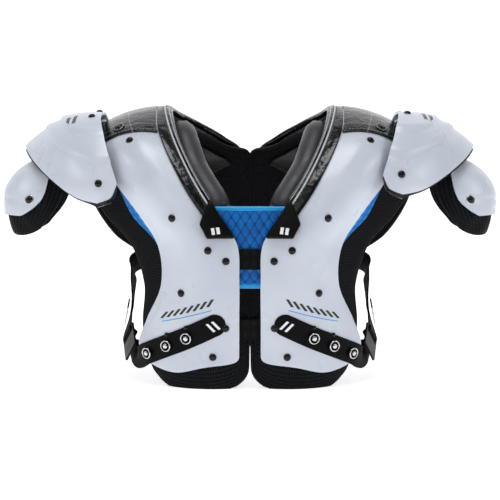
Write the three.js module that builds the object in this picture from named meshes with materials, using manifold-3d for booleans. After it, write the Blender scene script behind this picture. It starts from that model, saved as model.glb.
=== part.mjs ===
// Football shoulder pad: two moulded plastic arches over padded liners, with shoulder plates,
// upper-arm caps, belts, elastic straps and a padded neck. Millimetres, +Z up. The chest faces -Y
// and the wearer's left is +X. It stands on the lower edges of its liners at z = 0.
import * as THREE from "three";
import { mergeVertices } from "three/addons/utils/BufferGeometryUtils.js";
import Module from "manifold-3d";

const wasm = await Module();
wasm.setup();

// Overall sizes of the body form, which is the inner face of an arch
const HALF_SPAN = 200; // middle plane to the arch's arm edge on top of the shoulder
const HALF_DEPTH = 142; // middle to the chest, and to the back
const FORM_HEIGHT = 332; // floor to the neck edge on top of the shoulder

// Walls and clearances
const GAP = 0.4; // between two pieces that lie on each other
const SOFT_GAP = 1.2; // between a stuffed piece and what it lies on
const ARCH_WALL = 3;
const RIB_RISE = 3.5; // how far the moulded rib stands out of an arch
const LINING = 1.6; // blue fabric between arch and liner
const LINING_REACH = 9; // how far the blue fabric shows past the arch at the armhole
const PAD_THICK = 16;

// Collar trim, a vinyl binding over the arch's neck edge
const TRIM_FLANGE = 11; // width on top of the arch
const TRIM_BEAD = 7; // how far the rolled edge stands past the arch
const TRIM_LEATHER = 1.8;
const FLAP_THICK = 2; // vinyl flap inside the back of the neck
const ROLL_RADIUS = 17.5;
const ROLL_STOPS = [5.2, 5.9, 6.9, 7.9, 8.75]; // sections that the neck roll passes
const ROLL_ASIDE = [14, 25, 28.5, 24.5, 21.5]; // its middle past the arch's neck edge, at each of them
const ROLL_BELOW = [15, 18, 20, 20, 20]; // and below the form

// Corner wedge of the chest
const WEDGE_THICK = 6;
const WEDGE_BEVEL = 2;

// Shoulder plate, its liner, the strap that carries it, and the cap on the upper arm
const STRAP_THICK = 2.5;
const PLATE_WALL = 3;
const PLATE_LINER = 2.6;
const PLATE_LINER_PROUD = 4; // how far the liner shows past the plate
const PLATE_STEP = 2.6; // rise of each of its two moulded terraces
const PLATE_REACH = 100; // outwards, from the seat on the strap to the outer rim
const PLATE_HALF = 112; // forwards, and backwards
const PLATE_DROP = 104; // down to the lowest rim
const PLATE_SWING = { left: -1.5, right: 3.5 }; // degrees by which its front hangs lower
const CAP_WALL = 2.6;
const CAP_REACH = 65;
const CAP_HALF = 54;
const CAP_HEIGHT = 87;
const CAP_PAD = 15;
const HANGER_WIDTH = 36;
const HANGER_THICK = 2;

// Belts, webbing and their hardware
const BELT_WIDTH = 26;
const BELT_THICK = 3;
const EYELET_RADIUS = 3;
const WEB_WIDTH = 25;
const WEB_THICK = 1.8;
const ELASTIC_HEIGHT = 24;
const ELASTIC_THICK = 1.8;
const CHEST_STRAP_HALF = 40; // from the middle to each sewn end, under the liners
const BACK_STRAP_HALF = 38;
const BUCKLE_LENGTH = 34;
const BUCKLE_WIDTH = 32;
const BUCKLE_THICK = 2.6;
const SLIDER_LENGTH = 15;
const SLIDER_BAR = 3;
const STERNUM_THICK = 6;
const STERNUM_HALF = 42; // middle to each side edge of the quilted panel
const RIVET_RADIUS = 5;
const RIVET_HEIGHT = 2.8;

// Sections of the body form, from the front hem over the shoulder to the back hem. "in" is the
// middle or neck edge and "out" the arm edge; X is a share of HALF_SPAN, Y of HALF_DEPTH (front
// negative) and Z of FORM_HEIGHT. bulge is how far the section stands out between its edges, and
// padIn and padOut how far the liner passes them, as shares of HALF_SPAN.
const SECTIONS = [
  { inX: 0.065, inY: -0.91, inZ: -0.02, outX: 0.53, outY: -0.75, outZ: -0.02, bulge: 0.07, padIn: 0.058, padOut: 0.05 },
  { inX: 0.065, inY: -0.95, inZ: 0.127, outX: 0.65, outY: -0.67, outZ: 0.13, bulge: 0.08, padIn: 0.057, padOut: 0.0 },
  { inX: 0.065, inY: -0.985, inZ: 0.253, outX: 0.61, outY: -0.7, outZ: 0.23, bulge: 0.08, padIn: 0.052, padOut: 0.07 },
  { inX: 0.065, inY: -1, inZ: 0.39, outX: 0.515, outY: -0.8, outZ: 0.367, bulge: 0.065, padIn: -0.16, padOut: 0.15 },
  { inX: 0.08, inY: -1, inZ: 0.524, outX: 0.53, outY: -0.8, outZ: 0.506, bulge: 0.06, padIn: -0.17, padOut: 0.21 },
  { inX: 0.215, inY: -0.96, inZ: 0.627, outX: 0.64, outY: -0.75, outZ: 0.615, bulge: 0.065, padIn: -0.03, padOut: 0.27 },
  { inX: 0.348, inY: -0.84, inZ: 0.74, outX: 0.79, outY: -0.65, outZ: 0.73, bulge: 0.075, padIn: 0.048, padOut: 0.25 },
  { inX: 0.456, inY: -0.61, inZ: 0.86, outX: 0.9, outY: -0.465, outZ: 0.82, bulge: 0.08, padIn: 0.067, padOut: 0.17 },
  { inX: 0.507, inY: -0.31, inZ: 0.942, outX: 0.975, outY: -0.21, outZ: 0.862, bulge: 0.06, padIn: 0.045, padOut: 0.09 },
  { inX: 0.52, inY: 0.03, inZ: 0.98, outX: 1, outY: 0.07, outZ: 0.87, bulge: 0.05, padIn: 0.02, padOut: 0.08 },
  { inX: 0.475, inY: 0.35, inZ: 0.957, outX: 0.98, outY: 0.35, outZ: 0.85, bulge: 0.06, padIn: 0.02, padOut: 0.09 },
  { inX: 0.35, inY: 0.635, inZ: 0.913, outX: 0.915, outY: 0.58, outZ: 0.786, bulge: 0.075, padIn: 0.02, padOut: 0.17 },
  { inX: 0.2, inY: 0.82, inZ: 0.855, outX: 0.81, outY: 0.71, outZ: 0.687, bulge: 0.075, padIn: 0.03, padOut: 0.24 },
  { inX: 0.085, inY: 0.915, inZ: 0.79, outX: 0.69, outY: 0.795, outZ: 0.572, bulge: 0.065, padIn: 0.074, padOut: 0.24 },
  { inX: 0.065, inY: 0.97, inZ: 0.633, outX: 0.59, outY: 0.83, outZ: 0.452, bulge: 0.06, padIn: 0.071, padOut: 0.15 },
  { inX: 0.065, inY: 0.99, inZ: 0.476, outX: 0.54, outY: 0.83, outZ: 0.337, bulge: 0.06, padIn: 0.07, padOut: 0.11 },
  { inX: 0.065, inY: 0.98, inZ: 0.313, outX: 0.57, outY: 0.775, outZ: 0.23, bulge: 0.07, padIn: 0.069, padOut: 0.07 },
  { inX: 0.065, inY: 0.95, inZ: 0.157, outX: 0.6, outY: 0.69, outZ: 0.114, bulge: 0.08, padIn: 0.068, padOut: 0.02 },
  { inX: 0.065, inY: 0.91, inZ: -0.02, outX: 0.53, outY: 0.75, outZ: -0.02, bulge: 0.07, padIn: 0.066, padOut: 0.05 },
];
const LAST = SECTIONS.length - 1;

// Sections of the shoulder plate from its front end to its back end, all from its seat. "in" is the
// edge beside the neck and "rim" the outer one. X is a share of PLATE_REACH, Y of PLATE_HALF and Z
// of PLATE_DROP. bulge is a share of PLATE_REACH.
const PLATE = [
  { inX: -0.26, inY: -1.06, inZ: -0.645, rimX: -0.04, rimY: -1.06, rimZ: -0.855, bulge: 0.03 },
  { inX: -0.17, inY: -0.95, inZ: -0.4, rimX: 0.23, rimY: -0.96, rimZ: -0.795, bulge: 0.08 },
  { inX: -0.08, inY: -0.7, inZ: -0.155, rimX: 0.515, rimY: -0.72, rimZ: -0.65, bulge: 0.11 },
  { inX: -0.02, inY: -0.38, inZ: -0.01, rimX: 0.8, rimY: -0.37, rimZ: -0.46, bulge: 0.12 },
  { inX: 0, inY: 0, inZ: 0, rimX: 0.94, rimY: 0, rimZ: -0.325, bulge: 0.12 },
  { inX: -0.01, inY: 0.375, inZ: -0.05, rimX: 0.8, rimY: 0.37, rimZ: -0.485, bulge: 0.12 },
  { inX: -0.03, inY: 0.67, inZ: -0.22, rimX: 0.6, rimY: 0.71, rimZ: -0.665, bulge: 0.11 },
  { inX: -0.09, inY: 0.89, inZ: -0.52, rimX: 0.32, rimY: 0.92, rimZ: -0.825, bulge: 0.08 },
  { inX: -0.12, inY: 0.985, inZ: -0.77, rimX: 0.02, rimY: 1, rimZ: -0.895, bulge: 0.03 },
];

// Profile of the upper-arm cap from its top down: half axes of each level as shares of CAP_REACH
// and CAP_HALF, and its height below the top as a share of CAP_HEIGHT. The last row is the pad's.
const CAP = [
  { reach: 0.2, half: 0.28, down: 0.15 },
  { reach: 0.37, half: 0.52, down: 0.25 },
  { reach: 0.7, half: 0.8, down: 0.42 },
  { reach: 0.9, half: 0.93, down: 0.61 },
  { reach: 0.97, half: 1, down: 0.8 },
  { reach: 0.98, half: 1.02, down: 1 },
  { reach: 0.93, half: 0.97, down: 1.2 },
  { reach: 0.86, half: 0.93, down: 1.4 },
];
const CAP_ROW = 0.2; // about the height between two rows of that table, as a share of CAP_HEIGHT

// Route of the belt and then the side webbing round the open side of the body, as shares of
// HALF_SPAN, HALF_DEPTH and FORM_HEIGHT
const BELT_SIDE = [
  { X: 0.672, Y: -0.635, Z: 0.094 },
  { X: 0.697, Y: -0.55, Z: 0.112 },
  { X: 0.707, Y: -0.465, Z: 0.14 },
];
const WEB_SIDE = [
  { X: 0.735, Y: -0.16, Z: 0.26 },
  { X: 0.742, Y: 0.05, Z: 0.31 },
  { X: 0.748, Y: 0.28, Z: 0.35 },
  { X: 0.76, Y: 0.49, Z: 0.38 },
];

// Places on the form: section number, then share of the way from the inner to the outer edge
const ARCH_RIVETS = [
  { section: 6.98, across: 0.524 },
  { section: 4.92, across: 0.51 },
  { section: 3.86, across: 0.34 },
  { section: 3.55, across: 0.15 },
  { section: 2.82, across: 0.68 },
  { section: 0.96, across: 0.23 },
];
const BELT_LINE = [
  { section: 2.04, across: 0.13 },
  { section: 1.8, across: 0.32 },
  { section: 1.52, across: 0.5 },
  { section: 1.17, across: 0.72 },
  { section: 0.9, across: 0.93 },
];

const vinylBlack = 0x111214;
const meshBlack = 0x17181a;
const plateWhite = 0xe9ecf2;
const padBlue = 0x1566b4;
const steel = 0xb9bcc0;
function finish(color, roughness, metalness = 0) {
  return new THREE.MeshStandardMaterial({ color, roughness, metalness });
}

// Value of a table's column between its rows: a smooth curve through them, straight past its ends
function along(rows, column, place) {
  const last = rows.length - 1;
  const value = (i) => {
    if (i < 0) return 2 * rows[0][column] - rows[1][column];
    if (i > last) return 2 * rows[last][column] - rows[last - 1][column];
    return rows[i][column];
  };
  const i = Math.min(Math.max(Math.floor(place), 0), last - 1);
  const f = place - i;
  const [a, b, c, d] = [value(i - 1), value(i), value(i + 1), value(i + 2)];
  return 0.5 * (2 * b + (c - a) * f + (2 * a - 5 * b + 4 * c - d) * f * f + (3 * b - a - 3 * c + d) * f ** 3);
}

const mix = (a, b, f) => a + (b - a) * f;
const bell = (x) => Math.exp(-x * x);
function ramp(x, from, to) {
  const f = Math.min(Math.max((x - from) / (to - from), 0), 1);
  return f * f * (3 - 2 * f);
}
// 0 in the middle of a side and 1 at its two ends, flat first and steep last
const cornerCurve = (v, power) => 1 - (1 - Math.abs(2 * v - 1) ** power) ** (1 / power);
// How full a stuffed piece is: 0 at its two edges and 1 between them
const fullness = (v, power) => Math.max(0, 1 - Math.abs(2 * v - 1) ** power) ** (1 / power);
// n + 1 places from 0 to 1, closer together towards both ends
const eased = (n) => Array.from({ length: n + 1 }, (_, i) => 0.5 - 0.5 * Math.cos((Math.PI * i) / n));
const even = (n) => Array.from({ length: n + 1 }, (_, i) => i / n);

// A point and an outward direction on the body form
function formEdge(section, edge) {
  return new THREE.Vector3(
    along(SECTIONS, edge + "X", section) * HALF_SPAN,
    along(SECTIONS, edge + "Y", section) * HALF_DEPTH,
    along(SECTIONS, edge + "Z", section) * FORM_HEIGHT,
  );
}
const SMALL = 0.01;
function bulged(section, across, inner, outer, bulge) {
  const middle = (s) => inner(s).add(outer(s)).multiplyScalar(0.5);
  const chord = outer(section).sub(inner(section));
  const path = middle(section + SMALL).sub(middle(section - SMALL));
  const out = chord.clone().cross(path).normalize();
  // past the outer edge the surface soon runs on straight
  const past = Math.max(across - 1, 0);
  const rise = past > 0 ? (-4 * past) / (1 + 3 * past) : 4 * across * (1 - across);
  return inner(section).addScaledVector(chord, across).addScaledVector(out, bulge * rise);
}
function formPoint(section, across) {
  const bulge = along(SECTIONS, "bulge", section) * HALF_SPAN;
  return bulged(section, across, (s) => formEdge(s, "in"), (s) => formEdge(s, "out"), bulge);
}
function normalOf(point, section, across) {
  const sideways = point(section, across + SMALL).sub(point(section, across - SMALL));
  const lengthways = point(section + SMALL, across).sub(point(section - SMALL, across));
  return sideways.cross(lengthways).normalize();
}
const formNormal = (section, across) => normalOf(formPoint, section, across);
function onForm(section, across, lift) {
  return formPoint(section, across).addScaledVector(formNormal(section, across), lift);
}
const formWidth = (section) => formEdge(section, "in").distanceTo(formEdge(section, "out"));

// A moulded rib runs down the middle of an arch, in front and behind
function archRib(section, across) {
  const front = ramp(section, 2.9, 4.4) * (1 - ramp(section, 6.4, 7.4));
  const back = ramp(section, LAST - 7.4, LAST - 6.4) * (1 - ramp(section, LAST - 4.4, LAST - 2.9));
  return RIB_RISE * (front + back) * bell((across - 0.52) / 0.24);
}
const archTop = (section, across) => ARCH_WALL + archRib(section, across);
const onArch = (section, across, lift) => onForm(section, across, archTop(section, across) + lift);

// A geometry from points and triangles, turned to face outwards
function geometryOf(points, triangles) {
  let volume = 0;
  for (let i = 0; i < triangles.length; i += 3) {
    const [a, b, c] = [points[triangles[i]], points[triangles[i + 1]], points[triangles[i + 2]]];
    volume += a.dot(b.clone().cross(c));
  }
  const index = volume < 0 ? triangles.slice().reverse() : triangles;
  const positions = new Float32Array(points.flatMap((p) => [p.x, p.y, p.z]));
  const geometry = new THREE.BufferGeometry();
  geometry.setAttribute("position", new THREE.BufferAttribute(positions, 3));
  geometry.setIndex(index);
  return geometry;
}

// A body between two faces, each given by a function of two shares. With a rim the faces are
// joined by a strip, and a tapered body's faces share their edge points instead.
function between(outer, inner, lengthways, sideways, tapered = false) {
  const points = [];
  const rows = lengthways.length;
  const columns = sideways.length;
  const grid = (face, shared) =>
    lengthways.map((u, i) =>
      sideways.map((v, j) => {
        const edge = i === 0 || j === 0 || i === rows - 1 || j === columns - 1;
        if (shared && edge) return shared[i][j];
        points.push(face(u, v));
        return points.length - 1;
      }),
    );
  const top = grid(outer, null);
  const under = grid(inner, tapered ? top : null);
  const triangles = [];
  const quad = (a, b, c, d) => triangles.push(a, b, c, a, c, d);
  for (let i = 0; i < rows - 1; i++)
    for (let j = 0; j < columns - 1; j++) {
      quad(top[i][j], top[i][j + 1], top[i + 1][j + 1], top[i + 1][j]);
      quad(under[i][j], under[i + 1][j], under[i + 1][j + 1], under[i][j + 1]);
    }
  if (!tapered) {
    for (let i = 0; i < rows - 1; i++) {
      quad(top[i][0], top[i + 1][0], under[i + 1][0], under[i][0]);
      quad(top[i + 1][columns - 1], top[i][columns - 1], under[i][columns - 1], under[i + 1][columns - 1]);
    }
    for (let j = 0; j < columns - 1; j++) {
      quad(top[0][j + 1], top[0][j], under[0][j], under[0][j + 1]);
      quad(top[rows - 1][j], top[rows - 1][j + 1], under[rows - 1][j + 1], under[rows - 1][j]);
    }
  }
  return geometryOf(points, triangles);
}

// A closed skin over rings of points, with both end rings filled in
function lofted(rings, endFaces = null) {
  const sides = rings[0].length;
  const points = rings.flat();
  const triangles = [];
  for (let i = 0; i < rings.length - 1; i++)
    for (let j = 0; j < sides; j++) {
      const [a, b] = [i * sides + j, i * sides + ((j + 1) % sides)];
      triangles.push(a, b, b + sides, a, b + sides, a + sides);
    }
  const faces = endFaces ?? Array.from({ length: sides - 2 }, (_, k) => [0, k + 1, k + 2]);
  const last = (rings.length - 1) * sides;
  for (const [a, b, c] of faces) {
    triangles.push(c, b, a);
    triangles.push(last + a, last + b, last + c);
  }
  return geometryOf(points, triangles);
}

// Frames along a smooth line of points that each have a place and a rough outward direction
function frameAt(line, share) {
  const curve = new THREE.CatmullRomCurve3(line.map((p) => p.place), false, "centripetal");
  const between = curve.getUtoTmapping(share) * (line.length - 1);
  const i = Math.min(Math.floor(between), line.length - 2);
  const hint = line[i].out.clone().lerp(line[i + 1].out, between - i);
  const place = curve.getPointAt(share);
  const forward = curve.getTangentAt(share);
  const side = hint.cross(forward).normalize();
  return { place, forward, side, outward: forward.clone().cross(side).normalize(), share };
}
const framesAlong = (line, shares) => shares.map((share) => frameAt(line, share));
const lineLength = (line) => new THREE.CatmullRomCurve3(line.map((p) => p.place), false, "centripetal").getLength();
const formLine = (section, across, lift) => ({ place: onForm(section, across, lift), out: formNormal(section, across) });
// A flat band of even thickness on those frames, its lower face on the line
function band(frames, widthAt, thickness) {
  const corners = [[-0.5, 0], [0.5, 0], [0.5, 1], [-0.5, 1]];
  return lofted(
    frames.map(({ place, side, outward, share }) =>
      corners.map(([s, t]) =>
        place.clone().addScaledVector(side, s * widthAt(share)).addScaledVector(outward, t * thickness),
      ),
    ),
  );
}

function solidOf(geometry) {
  const bare = geometry.clone();
  bare.deleteAttribute("normal");
  bare.deleteAttribute("uv");
  const merged = mergeVertices(bare, 1e-3);
  return new wasm.Manifold(
    new wasm.Mesh({
      numProp: 3,
      vertProperties: merged.attributes.position.array,
      triVerts: new Uint32Array(merged.index.array),
    }),
  );
}
function geometryFrom(solid) {
  const mesh = solid.getMesh();
  const geometry = new THREE.BufferGeometry();
  geometry.setAttribute("position", new THREE.BufferAttribute(new Float32Array(mesh.vertProperties), 3));
  geometry.setIndex(new THREE.BufferAttribute(new Uint32Array(mesh.triVerts), 1));
  return geometry;
}
function cutBy(geometry, tools) {
  return geometryFrom(tools.reduce((solid, tool) => solid.subtract(solidOf(tool)), solidOf(geometry)));
}
// Turns a geometry that was drawn round +Z so that +Z is the given direction at the given place
function stoodOn(geometry, place, direction) {
  const turn = new THREE.Quaternion().setFromUnitVectors(new THREE.Vector3(0, 0, 1), direction);
  return geometry.applyQuaternion(turn).translate(place.x, place.y, place.z);
}

// The white arch: one moulded sheet from the chest over the shoulder to the back
const ARCH_HEM = 0.74; // section where the front edge of the arch ends, and as far from the back
const ARCH_HEM_DIP = 0.22; // how much lower its outer part hangs, in sections
const ARCH_CORNER = 0.36; // length of its rounded corners, in sections
function archHem(v) {
  return ARCH_HEM - ARCH_HEM_DIP * bell((v - 0.66) / 0.3) + ARCH_CORNER * cornerCurve(v, 5);
}
// Pieces that lie on each other share their rows, at every half section, and their columns
const HEM_ROWS = 3; // section where a piece's own rows near its hem end
const COLUMNS = [0, 0.04, 0.16, 0.34, 0.52, 0.7, 0.85, 0.96, 1];
const halfSections = (from, to) => Array.from({ length: Math.round(2 * (to - from)) + 1 }, (_, i) => from + i / 2);
// Sections from one hem to the other. hemRows places the rows between the hem and HEM_ROWS.
function hemmed(hem, hemRows) {
  const front = hemRows.map((f) => (v) => mix(hem(v), HEM_ROWS, f));
  const back = hemRows.map((f) => (v) => LAST - mix(hem(v), HEM_ROWS, f)).reverse();
  return [...front, ...halfSections(HEM_ROWS, LAST - HEM_ROWS).map((s) => () => s), ...back];
}
const ARCH_ROWS = hemmed(archHem, [0, 0.2, 0.6]);
function makeArch() {
  const outer = (row, v) => onArch(row(v), v, 0);
  const inner = (row, v) => onForm(row(v), v, archRib(row(v), v));
  return between(outer, inner, ARCH_ROWS, COLUMNS);
}

// The blue fabric under the arch, which shows along the armhole in front and behind
function makeLining() {
  const shown = (s) => LINING_REACH * (bell((s - 5.4) / 1.1) + bell((s - (LAST - 5.4)) / 1.1));
  const across = (s, v) => (v < 1 ? v : 0.985 + shown(s) / formWidth(s));
  const face = (lift) => (s, v) => onForm(s, across(s, v), lift);
  return between(face(-GAP), face(-GAP - LINING), halfSections(3.5, LAST - 3.5), [0.7, 0.85, 1]);
}

// The black liner: a padded strip under the whole arch, wider than it, flat where it stands
const PAD_LIFT = -GAP - LINING - SOFT_GAP;
const PAD_CORNER = 0.62; // length of its rounded corners, in sections
const PAD_EDGE = 0.07; // width of its rounded edges, as a share of its width
const PAST_ARM = 0.9; // the column about where the arch ends and the liner runs on
function makeBodyPad() {
  const across = (s, v) => {
    const from = -along(SECTIONS, "padIn", s) * HALF_SPAN;
    const to = formWidth(s) + along(SECTIONS, "padOut", s) * HALF_SPAN;
    const place = { 0: 0, 0.04: PAD_EDGE, 0.96: 1 - PAD_EDGE, 1: 1 }[v];
    if (v === PAST_ARM) return mix(0.85, mix(from, to, 1 - PAD_EDGE) / formWidth(s), 0.3);
    if (place === undefined) return mix(Math.max(from / formWidth(s), 0), 1, v);
    return mix(from, to, place) / formWidth(s);
  };
  const round = { 0: 0, 0.04: 0.82, 0.96: 0.82, 1: 0 };
  const rows = hemmed((v) => PAD_CORNER * cornerCurve(v, 2.4), [0, 0.06, 0.35, 0.7]);
  const hemRow = (row) => Math.min(rows.indexOf(row), rows.length - 1 - rows.indexOf(row));
  const face = (side) => (row, v) => {
    const full = (round[v] ?? 1) * ([0, 0.8][hemRow(row)] ?? 1);
    return onForm(row(v), across(row(v), v), PAD_LIFT - (PAD_THICK / 2) * (1 - side * full));
  };
  const pad = between(face(1), face(-1), rows, [0, 0.04, 0.16, 0.34, 0.7, 0.85, PAST_ARM, 0.96, 1], true);
  const below = new THREE.BoxGeometry(2 * HALF_SPAN, 3 * HALF_DEPTH, FORM_HEIGHT);
  return cutBy(pad, [below.translate(HALF_SPAN, 0, -FORM_HEIGHT / 2)]);
}

// The wedge covers the chest corner of the arch, where the collar trim ends
const WEDGE_OUTLINE = [
  { section: 5.37, across: -0.05 },
  { section: 4.68, across: 0.25 },
  { section: 4.22, across: 0.29 },
  { section: 4.14, across: 0.0 },
];
const WEDGE_BACK = 3 * GAP;
function makeWedge() {
  const outline = [];
  WEDGE_OUTLINE.forEach((corner, i) => {
    const next = WEDGE_OUTLINE[(i + 1) % WEDGE_OUTLINE.length];
    for (const f of [0, 1 / 3, 2 / 3])
      outline.push({ section: mix(corner.section, next.section, f), across: mix(corner.across, next.across, f) });
  });
  const middle = {
    section: outline.reduce((sum, p) => sum + p.section, 0) / outline.length,
    across: outline.reduce((sum, p) => sum + p.across, 0) / outline.length,
  };
  const ring = (keep, lift) =>
    outline.map((p) =>
      onArch(mix(middle.section, p.section, keep), mix(middle.across, p.across, keep), WEDGE_BACK + lift),
    );
  const inset = 1 - WEDGE_BEVEL / (0.11 * HALF_SPAN);
  return lofted([
    ring(0.05, 0),
    ring(1, 0),
    ring(1, WEDGE_THICK - WEDGE_BEVEL),
    ring(inset, WEDGE_THICK),
    ring(0.05, WEDGE_THICK),
  ]);
}

// The collar trim starts along the wedge's upper edge and ends at the middle of the back
const TRIM_END = 13.5;
function makeTrim() {
  const top = ARCH_WALL + 1.5 * GAP;
  const profile = [
    [-TRIM_FLANGE, top],
    [GAP, top],
    [GAP, -1.2],
    [TRIM_BEAD - 1.5, -1.8],
    [TRIM_BEAD, 0],
    [TRIM_BEAD, top - 0.6],
    [TRIM_BEAD - 2, top + TRIM_LEATHER],
    [-TRIM_FLANGE, top + TRIM_LEATHER],
  ];
  const [apex, left] = WEDGE_OUTLINE;
  const start = (across) =>
    mix(apex.section, left.section, (across - apex.across) / (left.across - apex.across)) + 0.05;
  const rings = [0, ...halfSections(5.5, TRIM_END)].map((row) =>
    profile.map(([past, lift]) => {
      const s = row || start(-past / formWidth(apex.section));
      const across = -past / formWidth(s);
      return onForm(s, across, lift + archRib(s, across));
    }),
  );
  const contour = profile.map(([x, y]) => new THREE.Vector2(x, y));
  return lofted(rings, THREE.ShapeUtils.triangulateShape(contour, []));
}

// A stuffed roll inside each side of the neck, from behind the wedge to the top of the shoulder
function makeNeckRoll() {
  const line = ROLL_STOPS.map((s, i) => ({
    place: onForm(s, -ROLL_ASIDE[i] / formWidth(s), -ROLL_BELOW[i]),
    out: new THREE.Vector3(1, 0, 0),
  }));
  const sides = 8;
  return lofted(
    framesAlong(line, even(8)).map(({ place, side, outward, share }) => {
      const radius = ROLL_RADIUS * Math.max(fullness(share, 5), 0.55);
      return Array.from({ length: sides }, (_, k) => {
        const angle = (2 * Math.PI * k) / sides;
        return place
          .clone()
          .addScaledVector(side, radius * Math.cos(angle))
          .addScaledVector(outward, radius * Math.sin(angle));
      });
    }),
  );
}

// The vinyl flap that faces the inside of the back of the neck
function makeFlap() {
  const lift = PAD_LIFT - PAD_THICK - GAP;
  const face = (below) => (s, v) => onForm(s, v, lift - below);
  return between(face(0), face(FLAP_THICK), halfSections(10, 13), [0.06, 0.16, 0.34]);
}

// The vinyl strap over the top of the shoulder, which carries the shoulder plate
const STRAP_FROM = 7.25;
const STRAP_TO = 9.5;
const STRAP_OUT = 0.85; // where it ends, from the neck edge
function makeShoulderStrap() {
  const ends = { 0: (s) => (TRIM_FLANGE + 2 * GAP) / formWidth(s), 1: () => STRAP_OUT };
  const face = (lift) => (s, v) => onForm(s, ends[v]?.(s) ?? v, lift);
  const low = ARCH_WALL + GAP;
  return between(face(low + STRAP_THICK), face(low), [STRAP_FROM, ...halfSections(7.5, STRAP_TO)], [0, 0.16, 0.34, 0.52, 0.7, 1]);
}

// The shoulder plate: a terraced dome seated on that strap. level is the distance from its inner
// face, and proud how much further than the plate's own rim a face reaches.
const PLATE_SEAT = { section: 9.05, across: 0.735 };
const SEAT_LIFT = ARCH_WALL + GAP + STRAP_THICK + 3 * GAP + PLATE_LINER + 2 * GAP;
const seat = onForm(PLATE_SEAT.section, PLATE_SEAT.across, SEAT_LIFT);
const plateRow = (turn) => ((turn + 1) / 2) * (PLATE.length - 1);
function plateEdge(turn, edge) {
  return new THREE.Vector3(
    seat.x + along(PLATE, edge + "X", plateRow(turn)) * PLATE_REACH,
    seat.y + along(PLATE, edge + "Y", plateRow(turn)) * PLATE_HALF,
    seat.z + along(PLATE, edge + "Z", plateRow(turn)) * PLATE_DROP,
  );
}
function platePoint(turn, out) {
  const bulge = along(PLATE, "bulge", plateRow(turn)) * PLATE_REACH;
  return bulged(turn, out, (a) => plateEdge(a, "in"), (a) => plateEdge(a, "rim"), bulge);
}
function plateTerraces(turn, out) {
  const away = Math.hypot(turn / 0.66, out / 0.6);
  return PLATE_STEP * (2 - ramp(away, 0.7, 0.9) - ramp(away, 1.05, 1.25));
}
function onPlate(turn, out, lift) {
  return platePoint(turn, out).addScaledVector(normalOf(platePoint, turn, out), lift);
}
const onPlateTop = (turn, out, lift) => onPlate(turn, out, PLATE_WALL + plateTerraces(turn, out) + lift);
const PLATE_TURNS = eased(14).map((f) => 2 * f - 1);
// The plate's two ends are rounded: there a row runs further, most of all halfway to the rim
const roundEnd = (turn, out) => turn * (1 + 0.28 * out * Math.max(1 - out, 0) * turn ** 8);
function makePlate() {
  const outer = (turn, out) => onPlateTop(roundEnd(turn, out), out, 0);
  const inner = (turn, out) => onPlate(roundEnd(turn, out), out, plateTerraces(roundEnd(turn, out), out));
  return between(outer, inner, PLATE_TURNS, [0, 0.1, 0.22, 0.34, 0.44, 0.56, 0.68, 0.8, 0.92, 1]);
}
function makePlateLiner() {
  const proud = PLATE_LINER_PROUD / PLATE_HALF;
  const reach = (turn) => 1 + proud * (1 + 5 * turn ** 8);
  const ends = { 0: () => 0, 1: reach };
  const face = (lift) => (turn, out) => {
    const t = Math.abs(turn) < 1 ? turn : turn * (1 + proud / 2);
    return onPlate(roundEnd(t, out), ends[out]?.(turn) ?? out, lift);
  };
  return between(face(-2 * GAP), face(-2 * GAP - PLATE_LINER), PLATE_TURNS, [0, 0.22, 0.44, 0.68, 0.92, 1]);
}

// The upper-arm cap: an open half shell round the top of the arm. turn goes from front to back
// and down from its top to its rim.
const CAP_MIDDLE = { X: 1.2, Y: 0.03, Z: 0.858 }; // of HALF_SPAN, HALF_DEPTH and FORM_HEIGHT
function capPoint(turn, down) {
  const row = down / CAP_ROW;
  return new THREE.Vector3(
    CAP_MIDDLE.X * HALF_SPAN + Math.cos(turn) * along(CAP, "reach", row) * CAP_REACH,
    CAP_MIDDLE.Y * HALF_DEPTH + Math.sin(turn) * along(CAP, "half", row) * CAP_HALF,
    CAP_MIDDLE.Z * FORM_HEIGHT - along(CAP, "down", row) * CAP_HEIGHT,
  );
}
function onCap(turn, down, lift) {
  return capPoint(turn, down).addScaledVector(normalOf(capPoint, turn, down), lift);
}
const CAP_TURN = (84 * Math.PI) / 180;
const CAP_CORNER = (32 * Math.PI) / 180; // how far its edges draw in towards the rim
function makeCap() {
  const face = (lift) => (u, v) => onCap((CAP_TURN - CAP_CORNER * v ** 6) * (2 * u - 1), v, lift);
  return between(face(CAP_WALL), face(0), even(10), [0, 0.25, 0.5, 0.72, 0.86, 0.95, 1]);
}
const CAP_PAD_TURN = (106 * Math.PI) / 180;
const CAP_PAD_CORNER = (34 * Math.PI) / 180;
function makeCapPad() {
  const rim = (u) => 1.32 - 0.12 * Math.abs(2 * u - 1) ** 4;
  const turn = (u, v) => (CAP_PAD_TURN - CAP_PAD_CORNER * v ** 2.6) * (2 * u - 1);
  const face = (side) => (u, v) => {
    const full = fullness(u, 5) * fullness(v, 5);
    const lift = -SOFT_GAP - (CAP_PAD / 2) * (1 - side * full);
    return onCap(turn(u, v), mix(0.22, rim(u), v), lift);
  };
  const lengthways = [0, 0.03, 0.12, 0.24, 0.36, 0.5, 0.64, 0.76, 0.88, 0.97, 1];
  return between(face(1), face(-1), lengthways, [0, 0.05, 0.25, 0.5, 0.75, 0.95, 1], true);
}

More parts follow.
